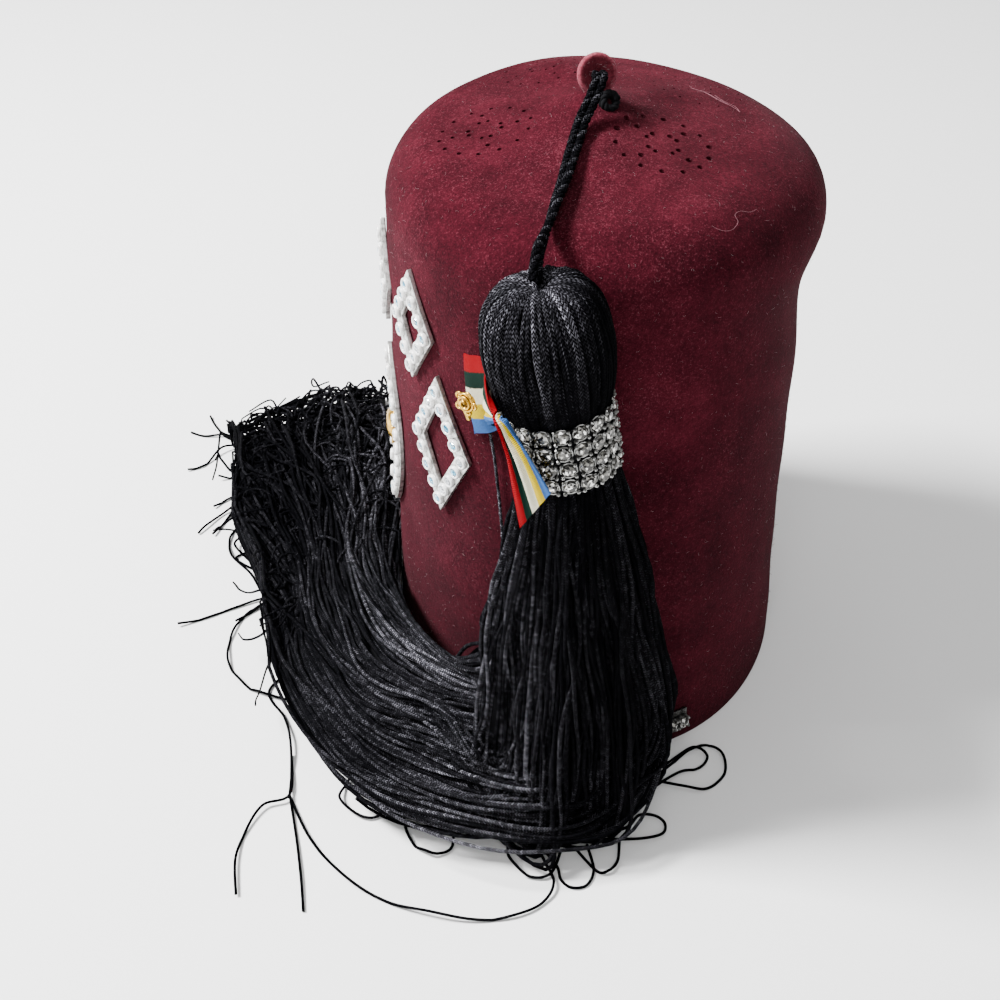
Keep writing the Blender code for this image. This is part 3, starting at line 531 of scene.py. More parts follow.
def makeCrown():
    grid, middle = crownSkin()
    item = linked("feltSkin", gridMesh("feltSkin", grid, middle))
    wall = item.modifiers.new("wall", "SOLIDIFY")
    wall.thickness = crown["felt"]
    wall.offset = -1.0
    cutter = ventCutter()
    cut = item.modifiers.new("vents", "BOOLEAN")
    cut.operation = "DIFFERENCE"
    cut.solver = "EXACT"
    cut.object = cutter
    mesh = evaluatedMesh(item, "crownFelt")
    bpy.data.objects.remove(cutter, do_unlink=True)
    mesh.shade_smooth()
    mesh.set_sharp_from_angle(angle=math.radians(50))
    addPiece("crownFelt", mesh, [feltFinish()], "maroon_felt", ["crown"])
    # no fibres within a few millimetres of the rim, where they would reach into the surface
    addFuzz("feltFuzz", gridMesh("napSkin", grid[4:], middle), fuzz["density"], "maroon_felt")


feltColours = {
    "dark": (0.0145, 0.0014, 0.0031),
    "middle": (0.0345, 0.0032, 0.0068),
    "light": (0.068, 0.0074, 0.0142),
    "fleck": (0.150, 0.045, 0.060),
    "sheen": (0.95, 0.45, 0.52, 1.0),
    # painted shade: the felt is darkened towards the rim, so that its top looks more lit than its lower wall
    "paintedShadePerMetre": 0.35,  # how much darker each metre towards the rim
    "paintedShadeBelow": 0.15,
}


def feltFinish():
    f = Finish("maroonFelt", feltColours["middle"], 0.95, Sheen_Weight=0.035, Sheen_Roughness=0.5,
               Sheen_Tint=feltColours["sheen"], Specular_IOR_Level=0.02)
    broad = f.noise(14.0, 3.0, 0.55)
    cloudy = f.noise(70.0, 4.0, 0.6)
    fibre = f.noise(650.0, 4.0, 0.75)
    fine = f.noise(1700.0, 2.0, 0.7)
    _, _, up = f.split(f.place())
    # painted shade by height: the felt's tone is lowered towards the rim
    paintedHeightShade = (f.maths("MINIMUM", up, feltColours["paintedShadeBelow"]) - 0.135) * feltColours["paintedShadePerMetre"]
    tone = f.ramp(broad * 0.26 + cloudy * 0.20 + fibre * 0.28 + fine * 0.26 + paintedHeightShade,
                  (0.40, feltColours["dark"]), (0.50, feltColours["middle"]), (0.60, feltColours["light"]))
    dust = f.noise(26.0, 3.0, 0.6)
    fleck = f.ramp(fine * 0.55 + fibre * 0.25 + dust * 0.20, (0.56, 0.0), (0.65, 1.0))
    fleck = fleck * f.ramp(up * 4.0, (0.1, 0.18), (0.7, 0.42))
    f.set("Base Color", f.mix(fleck, tone, feltColours["fleck"]))
    f.set("Roughness", f.ramp(fibre, (0.3, 0.85), (0.7, 1.0)))
    f.bump(fibre * 0.6 + fine * 0.5 + cloudy * 0.7, 0.0008, 0.8)
    return f.material


# fibres to the square metre on the crown and on the button, their length and half thickness
fuzz = {"density": 72000.0, "buttonDensity": 900000.0, "length": 0.0011, "thickness": 0.00004}


def addFuzz(name, skin, density, slot):
    values = {"Density": density, "Length": fuzz["length"], "Thickness": fuzz["thickness"], "Seed": seed,
              "Material": finishes["fuzz"]}
    addPiece(name, runTree(name, skin, trees["fuzz"], values), (), slot)


def fuzzTree():
    # short curled fibres that stand out of the felt
    kit, given = newTree("feltFibres", {"Density": "Float", "Length": "Float", "Thickness": "Float",
                                        "Seed": "Int", "Material": "Material"})
    spots = kit.node("GeometryNodeDistributePointsOnFaces", {},
                     {"Mesh": given["Geometry"], "Density": given["Density"], "Seed": given["Seed"]})
    normal = Wire(kit, spots.socket.node.outputs["Normal"])
    arc = kit.node("GeometryNodeCurveArc", {"mode": "RADIUS"},
                   {"Resolution": 4, "Radius": given["Length"] * 0.7, "Sweep Angle": 1.5})
    ring = kit.node("GeometryNodeCurvePrimitiveCircle", {"mode": "RADIUS"},
                    {"Resolution": 3, "Radius": given["Thickness"]})
    fibre = kit.node("GeometryNodeCurveToMesh", {}, {"Curve": arc, "Profile Curve": ring, "Fill Caps": True})
    fibre = kit.node("GeometryNodeTransform", {}, {"Geometry": fibre, "Translation": (-0.0010, 0.0, 0.0)})
    jitter = kit.node("FunctionNodeRandomValue", {"data_type": "FLOAT_VECTOR"},
                      {"Min": (-0.9, -0.9, -0.9), "Max": (0.9, 0.9, 0.9), "Seed": given["Seed"]}, "Value")
    lean = kit.node("ShaderNodeVectorMath", {"operation": "ADD"}, {0: normal, 1: jitter})
    spin = kit.node("FunctionNodeRandomValue", {"data_type": "FLOAT_VECTOR"},
                    {"Min": (-1.0, -1.0, -1.0), "Max": (1.0, 1.0, 1.0), "Seed": 3}, "Value")
    turn = kit.node("FunctionNodeAxesToRotation", {"primary_axis": "Z", "secondary_axis": "X"},
                    {"Primary Axis": lean, "Secondary Axis": spin})
    scale = kit.node("FunctionNodeRandomValue", {"data_type": "FLOAT"}, {2: 0.3, 3: 1.3, "Seed": 5}, 1)
    fibres = kit.node("GeometryNodeInstanceOnPoints", {},
                      {"Points": spots, "Instance": fibre, "Rotation": turn, "Scale": scale})
    return closeTree(kit, fibres, given["Material"])


def fuzzFinish():
    f = Finish("feltFibres", (0.42, 0.14, 0.18), 0.9, Sheen_Weight=0.3)
    f.set("Base Color", f.ramp(f.noise(300.0), (0.35, (0.045, 0.005, 0.010)), (0.56, (0.085, 0.015, 0.025)),
                               (0.74, (0.22, 0.085, 0.105))))
    return f.material


# Tassel cord

cord = {
    "diameter": 0.0044,
    "route": (
        (0.0004, -0.0048, 0.2351), (0.0002, -0.0100, 0.2360), (-0.0030, -0.0140, 0.2305), (-0.0066, -0.0180, 0.2256),
        (-0.0095, -0.0250, 0.2226), (-0.0129, -0.0352, 0.2206), (-0.0160, -0.0447, 0.2188),
        (-0.0194, -0.0539, 0.2172), (-0.0222, -0.0620, 0.2156), (-0.0246, -0.0690, 0.2148),
        (-0.0268, -0.0770, 0.2160), (-0.0288, -0.0855, 0.2180), (-0.0302, -0.0920, 0.2165),
        (-0.0306, -0.0950, 0.2140),
    ),
    "strand": 0.00140,
    "apart": 0.00122,
    "plies": 3,
    "plyRadius": 0.00076,
    "plyPitch": 0.0072,
    "strandPitch": 0.200,
    "straight": 0.030,
    "steps": 240,
    "sides": 8,
    # the knot beside the button
    "knotMiddle": (0.0040, -0.0084, 0.2274),
    "knotFacing": (0.25, -0.75, 0.60),
    "knotRadius": 0.0024,
    "knotDepth": 0.0016,
    "knotTurns": 1.6,
    "knotTwists": 5,
}


def framesAlong(line):
    # two directions square to a line, carried along it without twisting
    ahead = unit(np.gradient(line, axis=0))
    side = np.cross(ahead[0], (1.0, 0.0, 0.0))
    sides = []
    for direction in ahead:
        side = side - direction * (side @ direction)
        side = side / np.linalg.norm(side)
        sides.append(side)
    sides = np.array(sides)
    return sides, np.cross(ahead, sides)


def circled(line, frames, turns, reach):
    # a line that goes round another one, at the turn given for each point
    side, over = frames
    return line + (side * np.cos(turns)[:, None] + over * np.sin(turns)[:, None]) * reach


def makeCord():
    line = smoothLine(cord["route"], cord["steps"])
    length = lengthAlong(line)
    frames = framesAlong(line)
    lines = []
    for strand in range(2):
        # the two strands lie side by side near the button and twist lower down
        twisting = np.maximum(length - cord["straight"], 0)
        turns = math.pi * (strand + 0.5) + 2 * math.pi * twisting / cord["strandPitch"]
        strandLine = circled(line, frames, turns, cord["apart"])
        for ply in range(cord["plies"]):
            twist = 2 * math.pi * (ply / cord["plies"] + length / cord["plyPitch"])
            lines.append(circled(strandLine, frames, twist, cord["strand"] - cord["plyRadius"]))
    finish = cordFinish("twistedCord", 0.0010, 0.080)
    # the knot beside the button is given the plain dark shade finish, without glints: a cord end that also stands in
    # for the shadow under the button, partly painted shadow
    addCords("cordKnot", knotLines(), cord["plyRadius"], cord["sides"], finishes["shade"], "black_cord")
    piece = addCords("tasselCord", lines, cord["plyRadius"], cord["sides"], finish, "black_cord", ["tassel_cord"])
    world = [Vector(p) + rimMiddle for p in line]
    return float(length[-1])


def knotLines():
    # the end of the cord, coiled where it goes through the felt
    place = np.array(standAt(cord["knotMiddle"], cord["knotFacing"]))
    radius = cord["knotRadius"]
    t = np.linspace(0, 2 * math.pi * cord["knotTurns"], 60)
    coil = np.stack([radius * np.cos(t), radius * np.sin(t), -cord["knotDepth"] * t / t[-1], np.ones(60)], -1)
    coil = (coil @ place.T)[:, :3]
    frames = framesAlong(coil)
    twist = 2 * math.pi * t / t[-1] * cord["knotTwists"]
    return [circled(coil, frames, twist + ply, cord["strand"] - cord["plyRadius"])
            for ply in 2 * math.pi * np.arange(cord["plies"]) / cord["plies"]]


def cordFinish(name, stitch, glintPaleness, shadeAcross=((0.0, 1.0),), height=((0.0, 1.0),)):
    # knitted black cord: rows of slanting stitches with painted glints, a pale base colour standing in for their
    # shine, each cord by its own share
    f = Finish(name, (0.001, 0.001, 0.0014), 0.8, Specular_IOR_Level=0.012)
    along, thread = f.attribute("along"), f.attribute("thread")
    x, y, _ = f.split(f.attribute("turn", "Vector"))
    column = f.maths("ARCTAN2", y, x) * (2 / math.pi) + 2.0
    lean = f.maths("ABSOLUTE", f.maths("FRACT", column) - 0.5)
    row = along / stitch + lean * 1.5 + thread * 40.0
    rowNumber, columnNumber = f.maths("FLOOR", row), f.maths("FLOOR", column)
    spot = f.node("ShaderNodeCombineXYZ", {}, {0: rowNumber, 1: columnNumber, 2: thread * 50.0})
    chance = f.node("ShaderNodeTexWhiteNoise", {"noise_dimensions": "3D"}, {"Vector": spot})
    stitchShape = f.maths("SINE", f.maths("FRACT", row) * math.pi)
    # painted highlight: the pale flecks of the stitches stand in for the shine of the glossy black cord
    paintedGlint = f.ramp(stitchShape, (0.60, 0.0), (0.97, 1.0))
    paintedGlint = paintedGlint * (chance * chance * 0.9 + 0.1) * (thread * thread * 1.3 + 0.12)
    # the cords are left matt black where they lie in the shade of others: painted shade that dims the painted glints
    # by place across the hat and by height
    sideways, _, up = f.split(f.place())
    paintedCordShade = f.ramp(sideways * 4.0 + 0.6, *shadeAcross) * f.ramp(up * 4.0, *height)
    patchy = f.ramp(f.noise(60.0, 2.0, 0.5), (0.30, 0.6), (0.65, 1.0))
    pale = (glintPaleness, glintPaleness * 0.98, glintPaleness * 1.14)
    f.set("Base Color", f.mix(paintedGlint * patchy * paintedCordShade, (0.0007, 0.0007, 0.0011), pale))
    f.bump(stitchShape, 0.0002, 0.9)
    return f.material


# Tassel

tassel = {
    "bandMiddle": (-0.0235, -0.1000, 0.1635),
    "headTop": (-0.0308, -0.0955, 0.2190),
    # radius, height above the band's middle, from the dimple to the neck
    "head": ((0.0014, 0.0478), (0.0045, 0.0498), (0.0090, 0.0506), (0.0146, 0.0484), (0.0183, 0.0418),
             (0.0199, 0.0320), (0.0194, 0.0230), (0.0178, 0.0155), (0.0164, 0.0115), (0.0152, 0.0060)),
    # its cords: how deep they lie, how they wander round it and in and out, and how their ends taper
    "headLayers": (-0.0008, 0.0002),
    "headWander": 0.030,
    "headLift": 0.0002,
    "headTaper": (0.8, 1.05),
    "headCords": 190,
    "headSteps": 34,
    # the dark core under the head's cords: radius, height above the band's middle
    "core": ((0, 0.044), (0.010, 0.044), (0.0150, 0.041), (0.0176, 0.031), (0.0170, 0.023), (0.0148, 0.013),
             (0.0142, -0.008), (0.0112, -0.018), (0, -0.030)),
    "cordRadius": 0.00078,
    "endRadius": 0.00068,
    # x and y of the pile's left and far edges
    "pileEdge": ((-0.137, -0.050), (-0.142, 0.003), (-0.155, 0.041), (-0.158, 0.095), (-0.164, 0.123),
                 (-0.081, 0.152)),
    # inner x, y, z, outer x, y, z, thickness
    "sweep": (
        (-0.0325, -0.1000, 0.1570, -0.0140, -0.1000, 0.1570, 0.0230),
        (-0.0330, -0.1000, 0.1480, -0.0140, -0.1020, 0.1480, 0.0240),
        (-0.0385, -0.1000, 0.1200, -0.0080, -0.1050, 0.1200, 0.0250),
        (-0.0445, -0.0990, 0.0850, 0.0010, -0.1080, 0.0850, 0.0260),
        (-0.0470, -0.0980, 0.0680, 0.0080, -0.1160, 0.0520, 0.0270),
        (-0.0560, -0.0920, 0.0550, 0.0020, -0.1270, 0.0270, 0.0290),
        (-0.0670, -0.0790, 0.0450, -0.0210, -0.1375, 0.0150, 0.0310),
        (-0.0760, -0.0550, 0.0345, -0.0600, -0.1330, 0.0150, 0.0320),
        (-0.0820, -0.0280, 0.0260, -0.1000, -0.1085, 0.0150, 0.0320),
        (-0.0840, 0.0040, 0.0200, -0.1262, -0.0595, 0.0140, 0.0330),
        (-0.0820, 0.0440, 0.0160, -0.1355, -0.0020, 0.0130, 0.0310),
        (-0.0780, 0.0880, 0.0140, -0.1520, 0.0500, 0.0120, 0.0260),
        (-0.0790, 0.1480, 0.0080, -0.1710, 0.1160, 0.0070, 0.0150),
    ),
    "sweepCords": 270,
    "topCords": 150,
    "fallCords": 290,
    "tangleEnds": 900,
    # cords of the sweep: how they wander in clumps and alone, in shares of its width
    "clumps": 26,
    "clumpWander": 0.08,
    "cordWander": 0.06,
    "ripple": 0.03,
    # from where they fray, how far across and up, and how their ends curl, in metres
    "frayFrom": 0.72,
    "frayAcross": 0.22,
    "frayUp": 0.35,
    "curlFrom": (0.70, 0.86),
    "curl": (-0.020, -0.010, 0.0),
    "curlScatter": (0.020, 0.020, 0.002),
    # cords of the falls: how deep they lie, how they wander in clumps, alone and in ripples
    "fallDepth": 0.0045,
    "fallClumps": 30,
    "fallWander": (0.0024, 0.0016, 0.0010),
    # frayed ends: heading against the sweep's and its spread, bend and its spread, shortest and longest
    "endHeading": (0.85, 0.85),
    "endBend": (6, 80),
    "endLengths": (0.012, 0.052),
    "strays": 0.05,
    "strayMargin": -0.010,
    "endMargins": (0, 0.010),
    # how far cords keep from the felt and from the pile's edge, and the fewest points of a cut cord
    "clearance": 0.0004,
    "margins": (0, 0.006),
    "fewest": 12,
    "sweepSteps": 44,
    "fallSteps": 46,
    "endSteps": 20,
    # guide lines of the cords that fall in front: top, middle, low, landing
    "falls": (
        ((-0.0085, -0.0995, 0.1570), (-0.0065, -0.1005, 0.1480), (0.0040, -0.1040, 0.0980),
         (0.0160, -0.1030, 0.0460), (0.0050, -0.1075, 0.0060)),
        ((-0.0095, -0.1060, 0.1570), (-0.0065, -0.1070, 0.1480), (0.0020, -0.1150, 0.0980),
         (0.0090, -0.1205, 0.0440), (-0.0020, -0.1250, 0.0060)),
        ((-0.0160, -0.1125, 0.1570), (-0.0145, -0.1140, 0.1480), (-0.0105, -0.1225, 0.0980),
         (-0.0070, -0.1310, 0.0440), (-0.0140, -0.1400, 0.0060)),
        ((-0.0260, -0.1142, 0.1570), (-0.0268, -0.1160, 0.1480), (-0.0285, -0.1225, 0.0980),
         (-0.0300, -0.1310, 0.0440), (-0.0360, -0.1420, 0.0060)),
        ((-0.0350, -0.1085, 0.1570), (-0.0375, -0.1092, 0.1480), (-0.0460, -0.1120, 0.0980),
         (-0.0520, -0.1180, 0.0450), (-0.0570, -0.1190, 0.0380)),
    ),
}


def tasselFrame():
    axis = (Vector(tassel["headTop"]) - Vector(tassel["bandMiddle"])).normalized()
    return standAt(tassel["bandMiddle"], axis, "X")


def clearOfCrown(points, clearance):
    # moves points out from the hat's axis until they clear its wall
    low = np.clip(points[..., 2], 0, wallHeight)
    reach = np.hypot(points[..., 0] / (np.polyval(widthCurve, low) + clearance),
                     points[..., 1] / (np.polyval(depthCurve, low) + clearance))
    push = np.where(reach < 1, 1 / np.maximum(reach, 1e-6), 1.0)
    points[..., 0] *= push
    points[..., 1] *= push
    return points


def withinPile(points, margin):
    # cords that reach the pile's far or left edge turn along it
    edge = np.array(tassel["pileEdge"])
    far = np.interp(points[..., 0], edge[4:, 0], edge[4:, 1])
    points[..., 1] = np.minimum(points[..., 1], far - margin)
    left = np.interp(points[..., 1], edge[:5, 1], edge[:5, 0])
    points[..., 0] = np.maximum(points[..., 0], left + margin)
    return points


def makeHead():
    frame = np.array(tasselFrame())
    dice = np.random.default_rng(seed + 1)
    lines, weights = [], []
    steps = tassel["headSteps"]
    profile = smoothLine(tassel["head"], steps)
    for index in range(tassel["headCords"]):
        layer = dice.uniform(*tassel["headLayers"])
        wander = smoothLine(dice.normal(0, tassel["headWander"], (7, 1)), steps)[:, 0]
        turn = 2 * math.pi * index / tassel["headCords"] + wander
        reach = np.maximum(profile[:, 0] - tassel["cordRadius"] + layer, 0.0003)
        lift = smoothLine(dice.normal(0, tassel["headLift"], (6, 1)), steps)[:, 0]
        points = np.stack([(reach + lift) * np.cos(turn), (reach + lift) * np.sin(turn), profile[:, 1] + layer,
                           np.ones(steps)], -1)
        lines.append((points @ frame.T)[:, :3])
        weights.append(np.linspace(*tassel["headTaper"], steps))
    addCords("tasselHead", lines, tassel["cordRadius"], 6, finishes["head"], "black_chainette", (), weights)


def faceOf(middles, ahead):
    # which way a bundle's outer face looks: away from the hat where it hangs, up where it lies
    outward = unit(middles * np.array([1.0, 1.0, 0.0]))
    upright = np.clip((middles[..., 2:] - 0.035) / 0.03, 0, 1)
    face = unit(outward * upright + np.array([0.0, 0.0, 1.0]) * (1 - upright))
    side = unit(np.cross(ahead, face))
    return side, np.cross(side, ahead)


def bundle(steps):
    # the sweep's middle line, half width, thickness and outer face at even steps
    stations = smoothLine(tassel["sweep"], steps)
    inner, outer, thickness = stations[:, 0:3], stations[:, 3:6], stations[:, 6]
    middles = (inner + outer) / 2
    _, face = faceOf(middles, unit(np.gradient(middles, axis=0)))
    return middles, (outer - inner) / 2, thickness, face


def sweepLines(count, turns, depths, dice):
    # each cord keeps its place across the bundle and its depth in it; cords lie in clumps
    share = (np.arange(count) + dice.uniform(0, 1, count)) / count
    turn = turns[0] + (turns[1] - turns[0]) * share
    depth = dice.uniform(*depths, count)
    steps, clumps = tassel["sweepSteps"], tassel["clumps"]
    middles, span, thickness, face = bundle(steps)
    clump = (share * clumps).astype(int)

    def strayed(points, together, alone):
        return smoothLine(dice.normal(0, together, (points, clumps + 1))[:, clump]
                          + dice.normal(0, alone, (points, count)), steps)

    wander = strayed(9, tassel["clumpWander"], tassel["cordWander"])
    ripple = strayed(20, tassel["ripple"], tassel["ripple"])
    across = np.sign(np.cos(turn)) * np.abs(np.cos(turn)) ** 0.85 * depth * 1.06 + wander + ripple
    upward = np.sin(turn) * depth + wander * 0.4 + ripple
    # the far part frays, and the ends curl to the left
    along = np.linspace(0, 1, steps)
    frayed = np.clip((along - tassel["frayFrom"]) / (1 - tassel["frayFrom"]), 0, 1)[:, None] ** 1.5
    across = across + smoothLine(dice.normal(0, tassel["frayAcross"], (16, count)), steps) * frayed
    upward = upward + smoothLine(dice.normal(0, tassel["frayUp"], (16, count)), steps) * frayed
    lift = (upward * thickness[:, None] / 2)[..., None]
    lines = middles[:, None] + span[:, None] * across[..., None] + face[:, None] * lift
    curl = np.clip((along - dice.uniform(*tassel["curlFrom"], count)[:, None]) / 0.3, 0, 1).T[..., None] ** 1.4
    scatter = dice.normal(0, 1, (count, 3)) * np.array(tassel["curlScatter"])
    lines = lines + curl * (np.array(tassel["curl"]) + scatter)
    return trimmed(lines, dice, 80, (0.88, 0.98))


def trimmed(lines, dice, count, ends):
    # clears the hat, the floor and the edge of the allowed place, then cuts each cord to its own length
    radius = tassel["cordRadius"]
    fine = clearOfCrown(smoothLine(lines, count), radius + tassel["clearance"])
    fine = withinPile(fine, dice.uniform(*tassel["margins"], fine.shape[1]))
    fine[..., 2] = np.maximum(fine[..., 2], radius)
    lengths = np.maximum((count * dice.uniform(*ends, fine.shape[1])).astype(int), tassel["fewest"])
    return [fine[:length, index] for index, length in enumerate(lengths)]


def fallLines():
    guides = np.array(tassel["falls"])
    count = tassel["fallCords"]
    dice = np.random.default_rng(seed + 3)
    place = (np.arange(count) + dice.uniform(0, 1, count)) / count * (len(guides) - 1.001)
    index = place.astype(int)
    share = (place - index)[:, None, None]
    falls = guides[index] * (1 - share) + guides[index + 1] * share
    falls = falls.transpose(1, 0, 2)
    outward = unit(falls * np.array([1.0, 1.0, 0.0]))
    falls = falls - outward * (dice.uniform(0, 1, count)[None, :, None] * tassel["fallDepth"])
    # after landing they run on to the left along the outer side of the sweep, the left ones over its top
    stations = np.array(tassel["sweep"])[7:]
    across = np.clip(0.66 + 0.30 * (1 - place / 4) + dice.uniform(-0.10, 0.10, count), 0.5, 0.98)
    inner, outer = stations[:, None, 0:3], stations[:, None, 3:6]
    tail = inner + (outer - inner) * across[None, :, None]
    left = np.clip(place - 2.4, 0, 1)
    over = tail[..., 2] + stations[:, None, 6] * np.sqrt(1 - (2 * across - 1) ** 2) * 0.56
    tail[..., 2] = (0.004 + 0.012 * dice.uniform(0, 1, count)) * (1 - left) + over * left
    steps = tassel["fallSteps"]
    lines = smoothLine(np.concatenate([falls, tail]), steps)
    fade = np.clip(np.linspace(-0.6, 8, steps), 0, 1)[:, None, None]
    clumps = tassel["fallClumps"]
    clump = (place / 4 * clumps).astype(int)
    together, alone, ripple = tassel["fallWander"]
    wander = smoothLine(dice.normal(0, together, (8, clumps + 1, 3))[:, clump]
                        + dice.normal(0, alone, (8, count, 3)), steps)
    wander += smoothLine(dice.normal(0, ripple, (24, count, 3)), steps)
    wander[..., 2] *= 0.5
    # the cords on the left run on over the sweep, the others end where they land
    return trimmed(lines + wander * fade, dice, 76, (0.41 + 0.15 * left, 0.62 + 0.38 * left))


def tangleLines():
    # frayed ends that curl over one another where the sweep runs out, most of them towards the left
    dice = np.random.default_rng(seed + 4)
    count, steps = tassel["tangleEnds"], tassel["endSteps"]
    table = np.array(tassel["sweep"])
    # they start from the tenth station of the table on
    start = 9.0 + (len(table) - 10.02) * dice.uniform(0, 1, count) ** 0.6
    low = start.astype(int)
    station = table[low] + (table[low + 1] - table[low]) * (start - low)[:, None]
    place = station[:, :3] + (station[:, 3:6] - station[:, :3]) * dice.uniform(0.02, 0.96, (count, 1))
    ahead = table[low + 1, :3] + table[low + 1, 3:6] - table[low, :3] - table[low, 3:6]
    heading = np.arctan2(ahead[:, 1], ahead[:, 0]) + dice.normal(*tassel["endHeading"], count)
    bend = smoothLine(dice.normal(*tassel["endBend"], (5, count)), steps)
    stride = dice.uniform(*tassel["endLengths"], count) / steps
    headings = heading + np.cumsum(bend * stride, axis=0)
    x = place[:, 0] + np.cumsum(np.cos(headings) * stride, axis=0)
    y = place[:, 1] + np.cumsum(np.sin(headings) * stride, axis=0)
    z = station[:, 6] * dice.uniform(0.40, 1.02, count) + smoothLine(dice.normal(0, 0.0022, (5, count)), steps)
    stray = dice.uniform(0, 1, count) < tassel["strays"]
    margin = np.where(stray, tassel["strayMargin"], dice.uniform(*tassel["endMargins"], count))
    lines = withinPile(clearOfCrown(np.stack([x, y, z], -1), 0.001), margin * np.linspace(0.2, 1, steps)[:, None])
    lines[..., 1] = np.minimum(lines[..., 1], 0.154)
    lines[..., 2] = np.maximum(lines[..., 2] * np.clip(1 - np.linspace(0, 0.5, steps) ** 2, 0, 1)[:, None], 0.0008)
    return [lines[:, i] for i in range(count)], [np.linspace(1.0, 0.6, steps)] * count


def makeTassel():
    makeHead()
    radius, finish, slot = tassel["cordRadius"], finishes["chainette"], "black_chainette"
    tangle, taper = tangleLines()
    addCords("tasselTangle", tangle, tassel["endRadius"], 4, finish, slot, (), taper)
    dice = np.random.default_rng(seed + 2)
    whole = sweepLines(tassel["sweepCords"], (-0.35, math.pi + 0.35), (0.62, 1.0), dice)
    addCords("tasselSweep", whole, radius, 4, finish, slot, ["tassel"])
    upper = sweepLines(tassel["topCords"], (0.15, math.pi - 0.15), (0.92, 1.08), dice)
    addCords("tasselTop", upper, radius, 4, finish, slot)
    addCords("tasselFalls", fallLines(), radius, 4, finish, slot)
    makeCore()


def makeCore():
    # the dark inside of the tassel, under its cords: head and neck, the sweep and the skirt's front
    turned = lathe(tassel["core"], 40)
    turned.transform(tasselFrame())
    middles, span, thickness, face = bundle(40)
    rings = []
    for index in range(36):
        corners = np.linspace(0, 2 * math.pi, 12, endpoint=False)
        thin = 0.72 * min(1.0, (39 - index) / 8)
        ring = middles[index] + span[index] * np.cos(corners)[:, None] * (thin + 0.08)
        ring = clearOfCrown(ring + face[index] * np.sin(corners)[:, None] * thickness[index] / 2 * thin, 0.0012)
        ring[:, 2] = np.maximum(ring[:, 2], 0.001)
        rings.append(ring)
    sweep = loftMesh("sweepCore", rings)
    guides = smoothLine(np.array(tassel["falls"])[:, 1:].transpose(1, 0, 2), 14)
    outward = unit(guides * np.array([1.0, 1.0, 0.0]))
    slab = [np.concatenate([g - o * 0.0062, (g - o * 0.0140)[::-1]]) for g, o in zip(guides, outward)]
    skirt = loftMesh("skirtCore", slab)
    # a thin dark sheet under the tangle, inside the pile's edge: the matted ends there, and partly painted shade
    # among the cords
    edge = np.array([(-0.126, -0.036), *tassel["pileEdge"][1:], (-0.083, 0.060), (-0.095, 0.010)])
    middle = edge.mean(axis=0)
    mat = loftMesh("tangleMat", [np.column_stack([middle + (edge - middle) * share, np.full(len(edge), height)])
                                 for share, height in ((0.90, 0.0006), (0.94, 0.0025), (0.86, 0.0060))])
    whole = joinMeshes("tasselCore", [turned, sweep, skirt, mat])
    # the core is in the plain dark shade finish: it stands for the deeper cords and partly for painted shade among
    # them
    addPiece("tasselCore", whole, [finishes["shade"]], "black_chainette")


# Settings, stones and plates

def lathe(profile, sides, noise=0.0):
    # a closed turned shape from (radius, height) points, first and last on the axis
    dice = np.random.default_rng(seed + 11)
    bm = bmesh.new()
    poles = [bm.verts.new((0, 0, profile[0][1])), bm.verts.new((0, 0, profile[-1][1]))]
    rings = []
    for radius, height in profile[1:-1]:
        ring = []
        for side in range(sides):
            turn = 2 * math.pi * side / sides
            reach = radius * (1 + noise * dice.uniform(-1, 1))
            ring.append(bm.verts.new((reach * math.cos(turn), reach * math.sin(turn), height)))
        rings.append(ring)
    for side in range(sides):
        other = (side + 1) % sides
        bm.faces.new((poles[0], rings[0][side], rings[0][other]))
        bm.faces.new((poles[1], rings[-1][side], rings[-1][other]))
        for low, high in zip(rings, rings[1:]):
            bm.faces.new((low[side], low[other], high[other], high[side]))
    return closedMesh(bm, "turned")


def closedMesh(bm, name):
    # the finished mesh of a closed shape, its faces turned outwards
    bmesh.ops.recalc_face_normals(bm, faces=bm.faces)
    mesh = bpy.data.meshes.new(name)
    bm.to_mesh(mesh)
    bm.free()
    return mesh


def joinMeshes(name, meshes):
    bm = bmesh.new()
    for mesh in meshes:
        bm.from_mesh(mesh)
    whole = bpy.data.meshes.new(name)
    bm.to_mesh(whole)
    bm.free()
    return whole


def loftMesh(name, rings, closed=False):
    # skins rings of points in turn: closed joins the last to the first, otherwise both ends are filled
    bm = bmesh.new()
    rows = [[bm.verts.new(tuple(p)) for p in ring] for ring in rings]
    for low, high in zip(rows, rows[1:] + (rows[:1] if closed else [])):
        for i in range(len(low)):
            j = (i + 1) % len(low)
            bm.faces.new((low[i], low[j], high[j], high[i]))
    if not closed:
        bm.faces.new(list(reversed(rows[0])))
        bm.faces.new(rows[-1])
    return closedMesh(bm, name)


